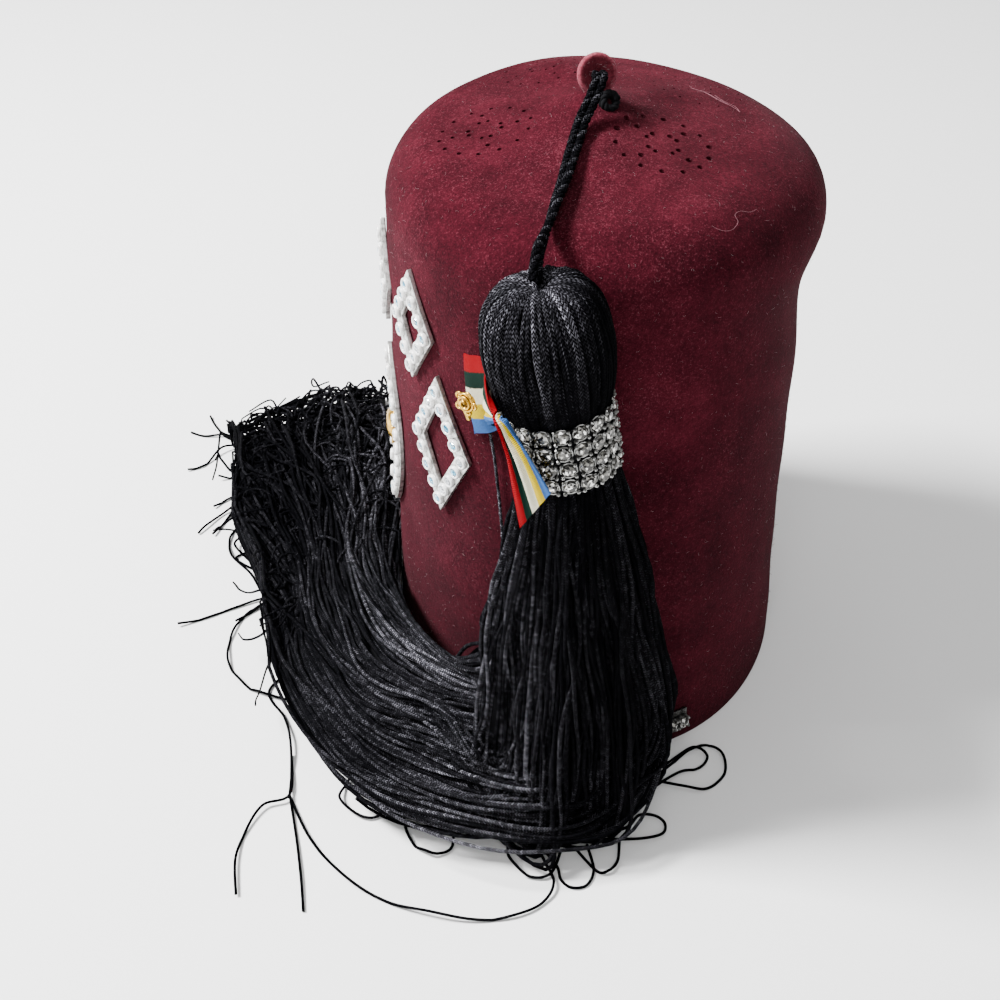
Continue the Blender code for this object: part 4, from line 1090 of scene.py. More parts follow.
def gemMesh(radius, base, girdle, top, table):
    # a round faceted stone: table, two rings of crown facets, girdle and a plain underside
    bm = bmesh.new()
    rows = []
    levels = ((0.8, base, 0.5), (1.0, girdle, 0.5), (0.80, (girdle + top) / 2 + 0.0001, 0.0), (table, top, 0.5))
    for share, height, offset in levels:
        turns = [2 * math.pi * (side + offset) / 8 for side in range(8)]
        rows.append([bm.verts.new((radius * share * math.cos(t), radius * share * math.sin(t),
                                   height)) for t in turns])
    for i in range(8):
        j = (i + 1) % 8
        bm.faces.new((rows[0][i], rows[0][j], rows[1][j], rows[1][i]))
        bm.faces.new((rows[1][i], rows[1][j], rows[2][j]))
        bm.faces.new((rows[1][i], rows[2][j], rows[2][i]))
        bm.faces.new((rows[2][i], rows[2][j], rows[3][i]))
        bm.faces.new((rows[2][j], rows[3][j], rows[3][i]))
    # the table is cut up, so that it shows the facets below it
    inner = [bm.verts.new((v.co.x * 0.45, v.co.y * 0.45, top)) for v in rows[3]]
    for i in range(8):
        bm.faces.new((rows[3][i], rows[3][(i + 1) % 8], inner[(i + 1) % 8], inner[i]))
    bm.faces.new(inner[:5])
    bm.faces.new(inner[4:] + inner[:1])
    bm.faces.new(list(reversed(rows[0])))
    return closedMesh(bm, "gem")


def cupMesh(radius, height):
    # a setting with four round-headed claws at its corners
    cup = lathe(((0, 0), (radius * 0.86, 0), (radius, height * 0.45), (radius, height), (radius - 0.0003, height),
                 (radius - 0.0004, height * 0.6), (0, height * 0.55)), 14)
    claws = []
    for corner in range(4):
        turn = math.radians(45 + 90 * corner)
        claw = lathe(((0, 0.0002), (0.00046, 0.0004), (0.00056, height), (0.00074, height + 0.0005),
                      (0.00050, height + 0.0010), (0, height + 0.0012)), 7)
        reach = radius + 0.0001
        claw.transform(Matrix.Translation((reach * math.cos(turn), reach * math.sin(turn), 0)))
        claws.append(claw)
    return joinMeshes("cup", [cup, *claws])


def setTree():
    # sets a copy of one piece at every point, facing as the point says; each face gets a number of its own
    inputs = {"Piece": "Object", "Spin": "Float", "Seed": "Int", "Smooth": "Bool", "Material": "Material"}
    kit, given = newTree("setPieces", inputs)
    piece = kit.node("GeometryNodeObjectInfo", {}, {"Object": given["Piece"]}, "Geometry")
    facing = kit.node("GeometryNodeInputNamedAttribute", {"data_type": "FLOAT_VECTOR"}, {"Name": "facing"})
    ahead = kit.node("GeometryNodeInputNamedAttribute", {"data_type": "FLOAT_VECTOR"}, {"Name": "ahead"})
    turn = kit.node("FunctionNodeAxesToRotation", {"primary_axis": "Z", "secondary_axis": "X"},
                    {"Primary Axis": facing, "Secondary Axis": ahead})
    dice = kit.node("FunctionNodeRandomValue", {"data_type": "FLOAT"},
                    {2: given["Spin"] * -1.0, 3: given["Spin"], "Seed": given["Seed"]}, 1)
    spin = kit.node("ShaderNodeCombineXYZ", {}, {"Z": dice})
    spin = kit.node("FunctionNodeEulerToRotation", {}, {0: spin})
    turn = kit.node("FunctionNodeRotateRotation", {"rotation_space": "LOCAL"}, {"Rotation": turn, "Rotate By": spin})
    placed = kit.node("GeometryNodeInstanceOnPoints", {},
                      {"Points": given["Geometry"], "Instance": piece, "Rotation": turn})
    placed = kit.node("GeometryNodeRealizeInstances", {}, {0: placed})
    number = kit.node("FunctionNodeRandomValue", {"data_type": "FLOAT"}, {"Seed": given["Seed"]}, 1)
    placed = kit.node("GeometryNodeStoreNamedAttribute", {"data_type": "FLOAT", "domain": "FACE"},
                      {"Geometry": placed, "Name": "facet", "Value": number})
    placed = kit.node("GeometryNodeSetShadeSmooth", {}, {"Geometry": placed, "Shade Smooth": given["Smooth"]})
    return closeTree(kit, placed, given["Material"])


def setPieces(name, prototype, points, facings, aheads, material, spin=0.0, smooth=False):
    mesh = bpy.data.meshes.new(name)
    mesh.from_pydata([tuple(p) for p in points], [], [])
    for label, vectors in (("facing", facings), ("ahead", aheads)):
        store = mesh.attributes.new(label, "FLOAT_VECTOR", "POINT")
        store.data.foreach_set("vector", np.asarray([tuple(v) for v in vectors], np.float32).ravel())
    model = linked("model", prototype)
    values = {"Piece": model, "Spin": spin, "Seed": seed, "Smooth": smooth, "Material": material}
    whole = runTree(name, mesh, trees["set"], values)
    bpy.data.objects.remove(model, do_unlink=True)
    return whole


def addSet(name, prototype, places, finish, slot, spin=0.0, smooth=False, replaced=()):
    addPiece(name, setPieces(name, prototype, *places, finishes[finish], spin, smooth), (), slot, replaced)


def silverFinish(name, shade, smoothness=0.0):
    f = Finish(name, (shade, shade, shade), 0.22, 1.0)
    wear = f.noise(420.0, 3.0, 0.6)
    worn, clean = (shade * 0.4, shade * 0.39, shade * 0.37), (shade, shade, shade * 0.97)
    bright = (shade * 1.5, shade * 1.5, shade * 1.48)
    f.set("Base Color", f.ramp(wear, (0.35, worn), (0.52, clean), (0.75, bright)))
    f.set("Roughness", f.ramp(wear, (0.3, 0.38 + smoothness), (0.7, 0.16 + smoothness)))
    f.bump(f.noise(1200.0, 2.0), 0.0001, 0.4)
    return f.material


def stoneFinish():
    # clear foiled stones: painted reflections, every facet's base colour set at random from black to white to stand
    # in for the light it catches
    f = Finish("clearStone", (0.7, 0.7, 0.7), 0.05, 0.55, Specular_IOR_Level=0.9, Coat_Roughness=0.03)
    facet = f.attribute("facet")
    f.set("Base Color", f.ramp(facet, (0.0, (0.004, 0.004, 0.004)), (0.42, (0.022, 0.021, 0.018)),
                               (0.62, (0.12, 0.115, 0.10)), (0.80, (0.46, 0.45, 0.41)), (0.90, (1.0, 0.99, 0.96))))
    f.set("Coat Weight", f.ramp(facet, (0.4, 0.3), (0.9, 1.0)))
    return f.material


# Band of stones

band = {
    "neck": 0.0149,
    "gap": 0.0003,
    "backing": 0.0005,
    "height": 0.0240,
    "rows": 4,
    "around": 18,
    "slip": 0.12,
    "lean": 0.05,
    "cup": 0.00278,
    "cupHeight": 0.0010,
    # how much smaller the stone is, its base, girdle and top, and its table's share
    "stone": (0.00040, 0.0006, 0.0011, 0.0020, 0.52),
}


def makeBand():
    spot = tasselFrame()
    turn = spot.to_3x3()
    seat = band["neck"] + band["gap"] + band["backing"]
    places, facings, aheads = [], [], []
    spacing = band["height"] / band["rows"]
    dice = np.random.default_rng(seed + 12)
    for row in range(band["rows"]):
        height = (row + 0.5) * spacing - band["height"] / 2
        slip = dice.uniform(-band["slip"], band["slip"])
        for side in range(band["around"]):
            angle = 2 * math.pi * (side + slip) / band["around"]
            spoke = Vector((math.cos(angle), math.sin(angle), 0))
            places.append(spot @ (spoke * seat + Vector((0, 0, height + dice.uniform(-0.00015, 0.00015)))))
            facings.append(turn @ (spoke + Vector(dice.uniform(-band["lean"], band["lean"], 3))))
            aheads.append(turn @ Vector((0, 0, 1)))
    seats = (places, facings, aheads)
    addSet("bandCups", cupMesh(band["cup"], band["cupHeight"]), seats, "silver", "cup_chain",
           replaced=["tassel_band"])
    smaller, *cut = band["stone"]
    addSet("bandStones", gemMesh(band["cup"] - smaller, *cut), seats, "stone", "cup_chain", math.pi)
    inner, outer, half = band["neck"] + band["gap"], seat, band["height"] / 2 - 0.0006
    turns = np.linspace(0, 2 * math.pi, 72, endpoint=False)
    grid = [[spot @ Vector((r * math.cos(a), r * math.sin(a), h)) for a in turns]
            for r, h in ((inner, -half), (outer, -half), (outer, half), (inner, half))]
    addPiece("bandBacking", loftMesh("bandBacking", grid, True), [finishes["shade"]], "cup_chain")


# Ornaments of ringed stones on the front

ornaments = {
    # angle in degrees, height of the middle, half width, half height, stones
    "lozenges": {
        "front_lozenge": (180.0, 0.1650, 0.0092, 0.0156, 12),
        "near_lozenge_1": (-153.5, 0.1650, 0.0092, 0.0156, 12),
        "near_lozenge_2": (-142.5, 0.1245, 0.0115, 0.0225, 16),
        "far_lozenge_1": (153.5, 0.1650, 0.0092, 0.0156, 12),
        "far_lozenge_2": (142.5, 0.1245, 0.0115, 0.0225, 16),
    },
    "rosette": (180.0, 0.0960, 0.0145, 0.0330, 24),
    "rosetteTip": 0.0045,
    "plate": 0.0018,
    "width": 0.0056,
    "gap": 0.0003,
    "edge": 0.0003,
    "stone": 0.00258,
    # the white ring round a stone: share of its radius, height
    "ring": ((0, 0), (0.95, 0), (1, 0.0005), (0.93, 0.0012), (0.76, 0.0015), (0.60, 0.0012), (0.55, 0.0006),
             (0, 0.0005)),
    # the stone in it: share of the ring's radius, base, girdle, top, table's share
    "centre": (0.56, 0.0005, 0.0009, 0.0016, 0.45),
}
boss = {
    "profile": ((0, 0), (0.0085, 0), (0.0085, 0.0009), (0.0078, 0.0016), (0.0070, 0.0014), (0.0064, 0.0020),
                (0.0050, 0.0033), (0.0030, 0.0039), (0, 0.0041)),
    "bead": ((0, -0.0006), (0.0005, -0.0003), (0.0007, 0.0), (0.0005, 0.0004), (0, 0.0006)),
    "beads": 30,
    "beadRing": 0.0079,
    "beadHeight": 0.0017,
    # height and lift of the bar's corners
    "bar": ((-0.0018, 0), (0.0018, 0), (0.0014, 0.0014), (-0.0014, 0.0014)),
}


# a shape gives across and up for each share of the way round it

def lozengeShape(halfWidth, halfHeight):
    corners = ((0.0, halfHeight), (halfWidth, 0.0), (0.0, -halfHeight), (-halfWidth, 0.0))

    def shape(share):
        side = int(share * 4) % 4
        t = share * 4 - side
        start, end = corners[side], corners[(side + 1) % 4]
        return (start[0] + (end[0] - start[0]) * t, start[1] + (end[1] - start[1]) * t)

    return shape


def pointedOvalShape(halfWidth, halfHeight):
    def shape(share):
        turn = 2 * math.pi * share
        return (halfWidth * math.sin(turn) * abs(math.sin(turn)) ** 0.35, halfHeight * math.cos(turn))

    return shape


def evenShares(shape, count):
    # the shares at which points lie evenly along the shape
    steps = 40 * count
    spots = np.array([shape(step / steps % 1.0) for step in range(steps + 1)])
    travelled = lengthAlong(spots)
    return np.interp(travelled[-1] * np.arange(count) / count, travelled, np.arange(steps + 1) / steps)


def onCrown(angle, middle, shape, shares):
    # points of a flat shape laid on the felt, and the felt's normals there
    spots = np.array([shape(share % 1.0) for share in shares])
    height = middle + spots[:, 1]
    turn = math.radians(angle) + spots[:, 0] / np.interp(height, sectionHeights, sectionWidths)
    return crownPoint(turn, height, np.full(len(height), ornaments["gap"])), crownNormal(turn, height)


def makePlate(name, shapeOf, halfWidth, halfHeight, rims, angle, middle, shares):
    (inner, innerNormals), (outer, outerNormals) = [
        onCrown(angle, middle, shapeOf(halfWidth + across, halfHeight + up), shares) for across, up in rims]
    lift = ornaments["plate"]
    rings = [[inner[i], outer[i], outer[i] + outerNormals[i] * lift, inner[i] + innerNormals[i] * lift]
             for i in range(len(shares))]
    item = linked(name, loftMesh(name, rings, True))
    edge = item.modifiers.new("edge", "BEVEL")
    edge.width = ornaments["edge"]
    edge.segments = 2
    return evaluatedMesh(item, name)


def ringedStones(label, places):
    radius = ornaments["stone"]
    ring = lathe([(share * radius, height) for share, height in ornaments["ring"]], 20)
    share, *cut = ornaments["centre"]
    addSet(label + "Rings", ring, places, "pearl", "white_stones_on_silver", smooth=True)
    addSet(label + "Centres", gemMesh(radius * share, *cut), places, "crystal", "white_stones_on_silver", math.pi)


def makeOrnaments():
    for name, (angle, middle, halfWidth, halfHeight, stones) in ornaments["lozenges"].items():
        shape = lozengeShape(halfWidth, halfHeight)
        edge = ornaments["width"] / 2 * math.hypot(halfWidth, halfHeight)
        rims = [(side * edge / halfHeight, side * edge / halfWidth) for side in (-1, 1)]
        plate = makePlate(name, lozengeShape, halfWidth, halfHeight, rims, angle, middle, np.arange(32) / 32)
        finishOrnament(name, plate, shape, stones, angle, middle)
    angle, middle, halfWidth, halfHeight, stones = ornaments["rosette"]
    rims = [(side * ornaments["width"] / 2, side * ornaments["rosetteTip"]) for side in (-1, 1)]
    shares = np.arange(72) / 72
    plate = makePlate("front_rosette", pointedOvalShape, halfWidth, halfHeight, rims, angle, middle, shares)
    finishOrnament("front_rosette", plate, pointedOvalShape(halfWidth, halfHeight), stones, angle, middle)
    makeBoss(math.radians(angle), middle, halfWidth)


def finishOrnament(name, plate, shape, stones, angle, middle):
    label = "".join(word.capitalize() if i else word for i, word in enumerate(name.split("_")))
    plate.name = label + "Plate"
    addPiece(label + "Plate", plate, [finishes["plate"]], "white_stones_on_silver", [name])
    points, normals = onCrown(angle, middle, shape, evenShares(shape, stones))
    points = points + normals * ornaments["plate"]
    ringedStones(label, (points, normals, np.roll(points, -1, axis=0) - np.roll(points, 1, axis=0)))


def makeBoss(angle, middle, halfWidth):
    # a gilt boss with a ring of beads, on a bar across the oval
    seat, normal = crownPoint(angle, middle, ornaments["gap"]), crownNormal(angle, middle)
    count = boss["beads"]
    around = [(boss["beadRing"] * math.cos(t), boss["beadRing"] * math.sin(t), boss["beadHeight"])
              for t in np.linspace(0, 2 * math.pi, count, endpoint=False)]
    beads = setPieces("beads", lathe(boss["bead"], 8), around, [(0, 0, 1)] * count, [(1, 0, 0)] * count,
                      finishes["gilt"], 0.0, True)
    whole = joinMeshes("rosetteBoss", [lathe(boss["profile"], 48), beads])
    whole.transform(standAt(seat, normal))
    whole.shade_smooth()
    addPiece("rosetteBoss", whole, [finishes["gilt"]], "white_stones_on_silver")
    rings = []
    for across in np.linspace(-halfWidth, halfWidth, 17):
        turn = angle + across / np.interp(middle, sectionHeights, sectionWidths)
        low, out = crownPoint(turn, middle, ornaments["gap"]), crownNormal(turn, middle)
        rings.append([low + np.array([0, 0, rise]) + out * lift for rise, lift in boss["bar"]])
    addPiece("rosetteBar", loftMesh("rosetteBar", rings), [finishes["gilt"]], "white_stones_on_silver")


def pearlFinish():
    f = Finish("whiteRing", (0.86, 0.85, 0.84), 0.28, Coat_Roughness=0.1, Coat_Weight=0.6)
    worn = f.noise(500.0, 3.0, 0.6)
    f.set("Base Color", f.ramp(worn, (0.30, (0.55, 0.53, 0.52)), (0.48, (0.86, 0.85, 0.84)),
                               (0.8, (0.95, 0.95, 0.95))))
    f.bump(worn, 0.0001, 0.4)
    return f.material


def crystalFinish():
    # some centres are pale, others blue; within each, the facets' base colours run from dark to white, painted
    # reflections of the light
    f = Finish("ringCentre", (0.6, 0.7, 0.8), 0.06, 0.5, Specular_IOR_Level=0.8)
    facet = f.attribute("facet")
    tint = f.noise(210.0, 1.0)
    pale = f.ramp(facet, (0.0, (0.10, 0.11, 0.13)), (0.4, (0.42, 0.44, 0.47)), (0.75, (0.85, 0.87, 0.9)),
                  (1.0, (1.0, 1.0, 1.0)))
    blue = f.ramp(facet, (0.0, (0.02, 0.09, 0.16)), (0.4, (0.06, 0.30, 0.48)), (0.75, (0.25, 0.60, 0.80)),
                  (1.0, (0.80, 0.95, 1.0)))
    f.set("Base Color", f.mix(f.ramp(tint, (0.46, 0.0), (0.54, 1.0)), pale, blue))
    return f.material


def giltFinish():
    f = Finish("gilt", (0.80, 0.52, 0.12), 0.25, 1.0)
    worn = f.noise(350.0, 3.0, 0.6)
    f.set("Base Color", f.ramp(worn, (0.3, (0.20, 0.10, 0.012)), (0.5, (0.62, 0.36, 0.045)),
                               (0.8, (0.90, 0.62, 0.14))))
    f.set("Roughness", f.ramp(worn, (0.3, 0.42), (0.7, 0.18)))
    f.bump(f.noise(900.0, 2.0), 0.0001, 0.5)
    return f.material


# Stones at the rim

rim = {
    "angles": (-84.0, -70.0),
    "height": 0.0110,
    "width": 0.0110,
    "plate": 0.0008,
    "stones": 4,
    "radius": 0.0028,
    "cupHeight": 0.0016,
    # how much smaller the stone is, its base, girdle and top, and its table's share
    "stone": (0.0003, 0.0009, 0.0018, 0.0031, 0.5),
}


def makeRimStones():
    first, last = (math.radians(a) for a in rim["angles"])
    rings = []
    for turn in np.linspace(first, last, 15):
        rings.append([crownPoint(turn, rim["height"] + up * rim["width"], ornaments["gap"] + out)
                      for up, out in ((-0.5, 0.0), (0.5, 0.0), (0.5, rim["plate"]), (-0.5, rim["plate"]))])
    addPiece("rimStrip", loftMesh("rimStrip", rings), [finishes["mesh"]], "white_stones_on_silver", ["rim_stones"])
    turns = first + (last - first) * (np.arange(rim["stones"]) + 0.5) / rim["stones"]
    heights = np.full(rim["stones"], rim["height"])
    points, normals = crownPoint(turns, heights, ornaments["gap"] + rim["plate"]), crownNormal(turns, heights)
    places = (points, normals, [(0, 0, 1)] * rim["stones"])
    slot = "white_stones_on_silver"
    addSet("rimCups", cupMesh(rim["radius"], rim["cupHeight"]), places, "silver", slot)
    smaller, *cut = rim["stone"]
    addSet("rimGems", gemMesh(rim["radius"] - smaller, *cut), places, "stone", slot, math.pi)


# Button

button = {
    "middle": (0.0002, -0.0030, 0.2345),
    "facing": (0.12, -0.94, 0.30),
    "radius": 0.0067,
    "thickness": 0.0026,
    "unevenness": 0.006,
    # shares of the radius and of the thickness, from the back to the dished front
    "profile": ((0, -0.5), (0.6, -0.5), (0.93, -0.42), (1, -0.15), (0.995, 0.2), (0.94, 0.44), (0.86, 0.5),
                (0.70, 0.46), (0.45, 0.38), (0.22, 0.26), (0, 0.1)),
}


def makeButton():
    radius, thickness = button["radius"], button["thickness"]
    mesh = lathe([(radius * out, thickness * up) for out, up in button["profile"]], 72, button["unevenness"])
    reach = mesh.attributes.new("reach", "FLOAT", "POINT")
    reach.data.foreach_set("value", [v.co.xy.length / radius for v in mesh.vertices])
    mesh.transform(standAt(button["middle"], button["facing"]))
    mesh.shade_smooth()
    skin = mesh.copy()
    addPiece("feltButton", mesh, [buttonFinish()], "button_felt", ["button"])
    addFuzz("buttonFuzz", skin, fuzz["buttonDensity"], "button_felt")


def buttonFinish():
    f = Finish("buttonFelt", (0.08, 0.015, 0.025), 0.95, Sheen_Weight=0.12, Sheen_Roughness=0.5,
               Sheen_Tint=(0.95, 0.5, 0.55, 1.0), Specular_IOR_Level=0.03)
    fibre = f.noise(900.0, 4.0, 0.7)
    face = f.ramp(fibre, (0.3, (0.040, 0.004, 0.008)), (0.7, (0.10, 0.014, 0.022)))
    edge = f.ramp(fibre, (0.3, (0.12, 0.016, 0.028)), (0.7, (0.30, 0.07, 0.095)))
    # painted light: the paler edge and darker face stand partly for the rim catching the light from behind and the
    # face in shade, partly for the fuzzier felt at the edge
    f.set("Base Color", f.mix(f.ramp(f.attribute("reach"), (0.78, 0.0), (0.93, 1.0)), face, edge))
    f.bump(fibre, 0.0005, 0.6)
    return f.material


# Ribbon and pin

ribbon = {
    # red edge x, y, z, blue edge x, y, z, from the back of the pinned loop to the cut end
    "edges": (
        (-0.0450, -0.0660, 0.1682, -0.0440, -0.0690, 0.1432), (-0.0478, -0.0636, 0.1680, -0.0460, -0.0668, 0.1404),
        (-0.0502, -0.0612, 0.1680, -0.0480, -0.0650, 0.1387), (-0.0514, -0.0618, 0.1686, -0.0490, -0.0660, 0.1390),
        (-0.0500, -0.0655, 0.1700, -0.0478, -0.0692, 0.1410), (-0.0470, -0.0697, 0.1722, -0.0444, -0.0738, 0.1444),
        (-0.0446, -0.0745, 0.1740, -0.0420, -0.0788, 0.1500), (-0.0458, -0.0845, 0.1760, -0.0459, -0.0865, 0.1580),
        (-0.0462, -0.0950, 0.1795, -0.0462, -0.0970, 0.1660), (-0.0458, -0.1065, 0.1820, -0.0448, -0.1085, 0.1755),
        (-0.0445, -0.1125, 0.1790, -0.0422, -0.1160, 0.1820), (-0.0428, -0.1130, 0.1715, -0.0394, -0.1168, 0.1775),
        (-0.0415, -0.1145, 0.1645, -0.0359, -0.1193, 0.1722), (-0.0403, -0.1155, 0.1555, -0.0324, -0.1212, 0.1655),
        (-0.0382, -0.1175, 0.1415, -0.0293, -0.1225, 0.1590),
    ),
    "along": 150,
    "across": 24,
    "thickness": 0.00045,
    "flat": (0.025, 0.101),
    "pleats": 3.5,
    "pleatDepth": 0.0011,
    "cupping": 0.004,
    "ribs": 0.00062,
    "stripes": ((0.24, 0.0008, 0.005), (0.003, 0.018, 0.012), (0.74, 0.71, 0.54), (0.60, 0.43, 0.004),
                (0.045, 0.125, 0.34)),
}


def makeRibbon():
    edges = smoothLine(ribbon["edges"], ribbon["along"])
    red, blue = edges[:, :3], edges[:, 3:]
    share = np.linspace(0, 1, ribbon["across"])
    grid = red[:, None] + (blue - red)[:, None] * share[None, :, None]
    middle = (red + blue) / 2
    face = unit(np.cross(blue - red, np.gradient(middle, axis=0)))
    width = np.linalg.norm(blue - red, axis=1)
    # the narrow places are gathered: the cloth pleats there instead of shrinking
    slack = np.clip(1 - width / ribbon["flat"][0], 0, 0.75)
    pleat = np.cos(share * 2 * math.pi * ribbon["pleats"])[None, :] * slack[:, None] * ribbon["pleatDepth"]
    cup = -((share - 0.5) ** 2)[None, :] * ribbon["cupping"] * (1 - slack[:, None])
    grid = grid + face[:, None] * (pleat + cup)[..., None]
    rows, columns = grid.shape[:2]
    faces = [(r * columns + c, r * columns + c + 1, (r + 1) * columns + c + 1, (r + 1) * columns + c)
             for r in range(rows - 1) for c in range(columns - 1)]
    mesh = bpy.data.meshes.new("ribbonCloth")
    mesh.from_pydata(grid.reshape(-1, 3).tolist(), [], faces)
    travelled = lengthAlong(middle)
    store = mesh.uv_layers.new(name="cloth")
    for loop in mesh.loops:
        row, column = divmod(loop.vertex_index, columns)
        store.data[loop.index].uv = (share[column], travelled[row] / travelled[-1])
    item = linked("ribbonCloth", mesh)
    wall = item.modifiers.new("wall", "SOLIDIFY")
    wall.thickness = ribbon["thickness"]
    wall.offset = 0.0
    mesh = evaluatedMesh(item, "ribbonCloth")
    mesh.shade_smooth()
    mesh.set_sharp_from_angle(angle=math.radians(60))
    piece = addPiece("ribbonCloth", mesh, [ribbonFinish(float(travelled[-1]))], "striped_ribbon", ["ribbon"])
    return float(travelled[-1])


def ribbonFinish(length):
    f = Finish("grosgrain", (0.6, 0.5, 0.2), 0.7, Specular_IOR_Level=0.04)
    across, along, _ = f.split(f.node("ShaderNodeUVMap", {"uv_map": "cloth"}))
    stripes = ribbon["stripes"]
    colour = stripes[0]
    edge = f.noise(2200.0, 1.0) * 0.03
    for index, stripe in enumerate(stripes[1:]):
        here = f.ramp(across + edge, (0.2 * (index + 1) + 0.010, 0.0), (0.2 * (index + 1) + 0.022, 1.0))
        colour = f.mix(here, colour, stripe)
    rib = f.maths("SINE", along * (2 * math.pi * length / ribbon["ribs"]))
    thread = f.noise(1500.0, 2.0)
    shade = f.ramp(rib * 0.3 + thread * 0.7 + 0.1, (0.2, 0.62), (0.75, 1.0))
    dark = f.node("ShaderNodeMix", {"data_type": "RGBA", "blend_type": "MULTIPLY"}, {0: 1.0, 6: colour, 7: shade}, 2)
    f.set("Base Color", dark)
    f.bump(rib * 0.7 + thread * 0.5, 0.00022, 0.8)
    return f.material


pin = {
    "middle": (-0.0509, -0.0722, 0.1566),
    "facing": (-0.69, -0.72, 0.06),
    "wire": 0.00056,
    "size": 0.86,
    "petals": 5,
    "back": ((0, -0.0014), (0.0030, -0.0014), (0.0040, -0.0008), (0.0040, -0.0002), (0, 0.0002)),
}


def makePin():
    # a small rose of gilt wire: a coil, a ring of petals and two hanging ends, on a turned back
    turns = np.linspace(0.6, 2 * math.pi * 2.4, 110)
    reach = 0.0006 + 0.0034 * (turns / turns[-1]) ** 0.8
    lines = [np.stack([reach * np.cos(turns), reach * np.sin(turns), 0.0004 + 0.0016 * (1 - turns / turns[-1])], -1)]
    for start in 2 * math.pi * np.arange(pin["petals"]) / pin["petals"]:
        t = np.linspace(0, 2 * math.pi, 22)
        out = 0.0030 + 0.0010 * (1 - np.cos(t))
        side = 0.0012 * np.sin(t)
        lines.append(np.stack([out * np.cos(start) - side * np.sin(start), out * np.sin(start) + side * np.cos(start),
                               0.0002 + 0.0004 * np.sin(t / 2)], -1))
    drop = np.stack([np.linspace(-0.0008, 0.0012, 14), np.linspace(-0.0035, -0.0072, 14), np.full(14, 0.0004)], -1)
    lines += [drop, drop + np.array([0.0008, 0.0003, 0.0002])]
    mesh = cordMesh("giltPin", lines, pin["wire"], 8, finishes["gilt"])
    whole = joinMeshes("giltPin", [mesh, lathe(pin["back"], 24)])
    whole.transform(Matrix.Scale(pin["size"], 4))
    whole.transform(standAt(pin["middle"], pin["facing"]))
    whole.shade_smooth()
    addPiece("giltPin", whole, [finishes["gilt"]], "gilt", ["ribbon_pin"])


# Loose cords of the tassel, in millimetres: one hangs on the felt, the others lie on the surface

loose = {
    "radius": 0.00055,
    "lift": 0.0012,
    "hanging": ((-44, -70, 145), (-42.6, -71.5, 134), (-41.8, -73.2, 122), (-41.2, -75, 110), (-41, -77, 97),
                (-43, -79, 84), (-46, -82, 68)),
    "strands": {
        "left": ((-178, -8), (-167, -5), (-154, 0), (-140, 4), (-128, 0)),
        "left short": ((-153, -9), (-147, -4), (-138, 2), (-126, 4)),
        "left loop": ((-126, 8), (-140, 1), (-148, -4), (-154, -15), (-155, -31), (-149, -44), (-142, -50),
                      (-130, -56)),
        "left bend": ((-150, 48), (-156, 39), (-148, 28), (-141, 17), (-130, 6)),
        "long drop": ((-124, -36), (-137, -50), (-130, -66), (-127, -82), (-127, -106)),
        "fork left": ((-127, -84), (-127, -104), (-137, -108), (-143, -118), (-146, -130), (-145, -145)),
        "fork right": ((-127, -104), (-124, -124), (-122, -141), (-121, -154)),
        "big curve": ((-127, -104), (-119, -124), (-106, -142), (-92, -153), (-77, -160), (-62, -164), (-48, -164),
                      (-37, -160), (-32, -152), (-36, -138)),
        "low loop": ((-80, -112), (-84, -119), (-82, -129), (-77, -135), (-72, -136), (-67, -133), (-66, -122)),
        "second low loop": ((-104, -98), (-108, -108), (-101, -116), (-94, -117), (-90, -110)),
        "foot loop": ((-44, -130), (-47, -137), (-45, -145), (-40, -149), (-33, -149), (-28, -140)),
        "second foot loop": ((-34, -138), (-30, -146), (-29, -152), (-25, -155), (-20, -154), (-17, -148),
                             (-18, -138)),
        "third foot loop": ((-22, -140), (-16, -149), (-12, -150), (-8, -146), (-6, -138)),
        "side loop": ((-12, -134), (-2, -132), (3, -128), (9, -128), (12, -132), (10, -137), (2, -138), (-10, -136)),
        "wide loop": ((-4, -122), (11, -112), (20, -105), (28, -100), (36, -98), (40, -104), (39, -112), (31, -118),
                      (22, -117), (8, -110), (0, -106)),
        "tip one": ((-146, 108), (-158, 116), (-166, 124), (-177, 126), (-184, 130)),
        "tip two": ((-152, 114), (-165, 123), (-171, 132), (-175, 142)),
        "tip three": ((-140, 118), (-151, 125), (-161, 131), (-166, 135)),
        "tip four": ((-150, 116), (-158, 115), (-167, 112), (-175, 102), (-183, 99)),
        "tip five": ((-134, 82), (-146, 87), (-157, 90), (-167, 90)),
        "tip six": ((-142, 84), (-154, 79), (-162, 74), (-168, 69)),
        "tip seven": ((-146, 74), (-156, 69), (-164, 63), (-171, 55), (-174, 51)),
        "tip eight": ((-148, 70), (-158, 65), (-163, 56), (-167, 49)),
        "net": ((-134, -8), (-141, 3), (-148, 20), (-157, 32), (-159, 45), (-155, 53), (-146, 50), (-138, 44)),
        "second net": ((-140, 18), (-155, 31), (-149, 36), (-144, 38), (-144, 50), (-150, 52)),
        "far loop": ((-129, 134), (-129, 139), (-125, 151), (-117, 151), (-112, 142), (-115, 134), (-122, 136)),
        "second far loop": ((-109, 140), (-105, 150), (-100, 151), (-98, 145), (-102, 141)),
        "far stray": ((-84, 150), (-92, 154), (-104, 154)),
        "inner wide loop": ((-4, -126), (9, -117), (22, -110), (31, -108), (34, -103), (29, -100), (18, -105),
                            (4, -112)),
    },
}


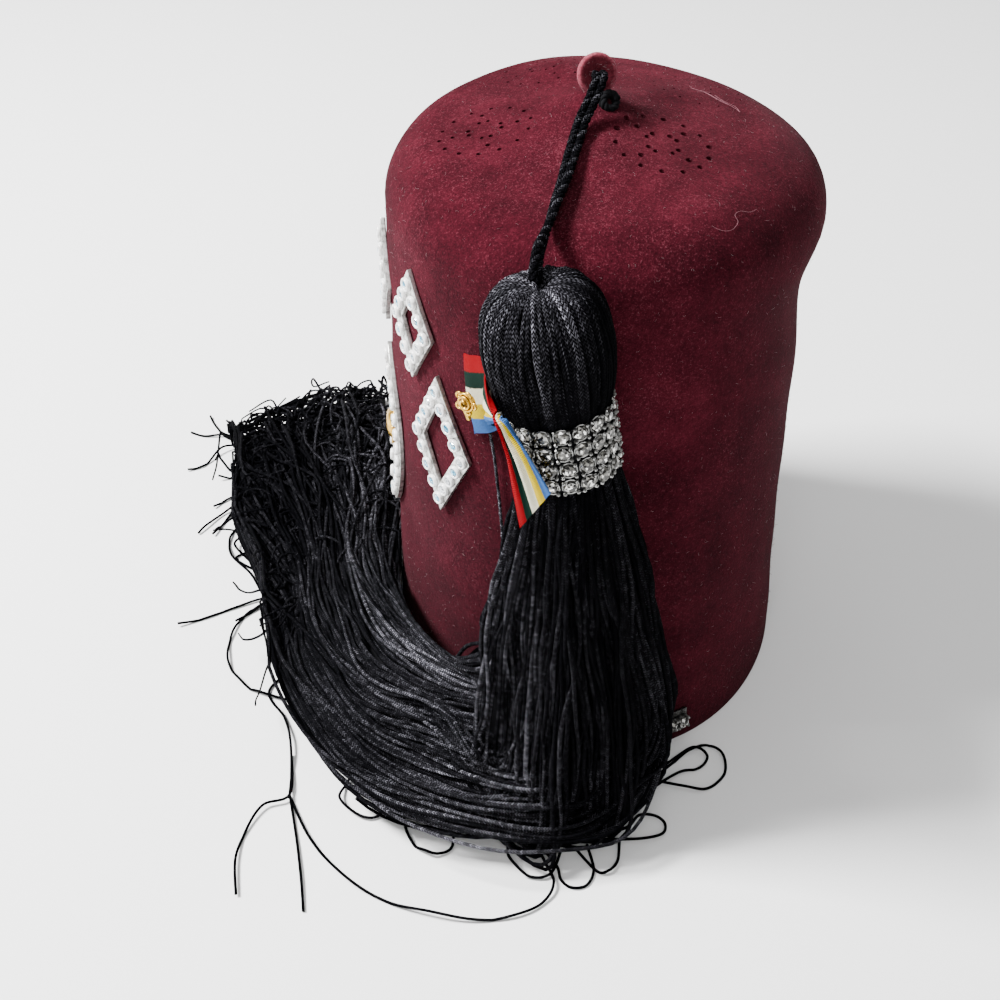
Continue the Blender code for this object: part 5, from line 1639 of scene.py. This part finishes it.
def makeLooseCords():
    lines = []
    dice = np.random.default_rng(seed + 21)
    for row in loose["strands"].values():
        count = 12 * len(row)
        flat = np.array(row) / 1000
        line = smoothLine(np.column_stack([flat, np.full(len(flat), loose["radius"])]), count)
        line[:, 2] += loose["lift"] * np.abs(smoothLine(dice.normal(0, 1, (len(row), 1)), count)[:, 0])
        line[:, 2] = np.maximum(line[:, 2], loose["radius"])
        lines.append(line)
    lines.append(smoothLine(np.array(loose["hanging"]) / 1000, 60))
    addCords("looseCords", lines, loose["radius"], 7, finishes["chainette"], "black_chainette")


lint = {
    "thickness": 0.00005,
    # in millimetres
    "hairs": (
        ((27, -64, 210.3), (28.9, -64.3, 209.2), (31.5, -64.2, 208.3), (34, -63, 208.1), (36, -60.6, 209.1),
         (35.3, -58.9, 210.6), (37.4, -56.9, 210.7), (40.9, -55.7, 209.5), (43.6, -53.8, 209.3)),
        ((39.4, 14.4, 218.9), (42.3, 11.6, 218.2), (45.2, 8.5, 217.4), (48.7, 5.2, 216.4), (50.7, 1.6, 216.0)),
        ((38, 12.6, 219.2), (41, 12.4, 218.6), (44.6, 7.4, 217.8), (47.4, 5.6, 217.0)),
        ((44, 12, 217.8), (46.2, 7.0, 217.6), (49.6, 4.6, 216.6), (50.2, 0.6, 216.4)),
        ((36.4, 16.2, 219.2), (39, 13, 219.3), (42.6, 12.8, 218.5)),
    ),
}


def makeLint():
    # a curled hair on the near side and wisps along the top's ridge
    lines = [smoothLine(np.array(row) / 1000, 12 * len(row)) for row in lint["hairs"]]
    finish = Finish("paleLint", (0.24, 0.11, 0.13), 0.9, Specular_IOR_Level=0.05).material
    addCords("lint", lines, lint["thickness"], 4, finish, "maroon_felt")


# Everything in turn

# painted light: where the cords' painted glints are dimmed to shade and where they stay bright, across the hat and by
# height
cordShadeStops = {
    "chainette": (((0.13, 0.08), (0.28, 0.13), (0.40, 0.45), (0.50, 1.0), (0.62, 0.80), (0.67, 0.12), (0.82, 0.20)),
                  ((0.03, 0.10), (0.07, 1.0))),
    "head": (((0.575, 0.4), (0.61, 1.0), (0.665, 1.0), (0.715, 0.12)), ((0.70, 0.05), (0.84, 1.0))),
}
trees = {"cord": cordTree(), "set": setTree(), "fuzz": fuzzTree()}
finishes = {
    "chainette": cordFinish("chainette", 0.00105, 0.31, *cordShadeStops["chainette"]),
    "head": cordFinish("headChainette", 0.0013, 0.29, *cordShadeStops["head"]),
    "shade": Finish("tasselShade", (0.004, 0.004, 0.005), 0.9, Specular_IOR_Level=0.1).material,
    "silver": silverFinish("cupSilver", 0.22),
    "plate": silverFinish("plateSilver", 0.6, 0.2),
    "mesh": silverFinish("darkMesh", 0.12),
    "stone": stoneFinish(),
    "pearl": pearlFinish(),
    "crystal": crystalFinish(),
    "gilt": giltFinish(),
    "fuzz": fuzzFinish(),
}
makeCamera()
makeStudio()
cordLength = makeCord()
makeCrown()
makeButton()
makeTassel()
makeLooseCords()
makeLint()
makeBand()
makeOrnaments()
makeRimStones()
ribbonLength = makeRibbon()
makePin()
print(f"cord {cordLength:.4f} m, ribbon {ribbonLength:.4f} m")
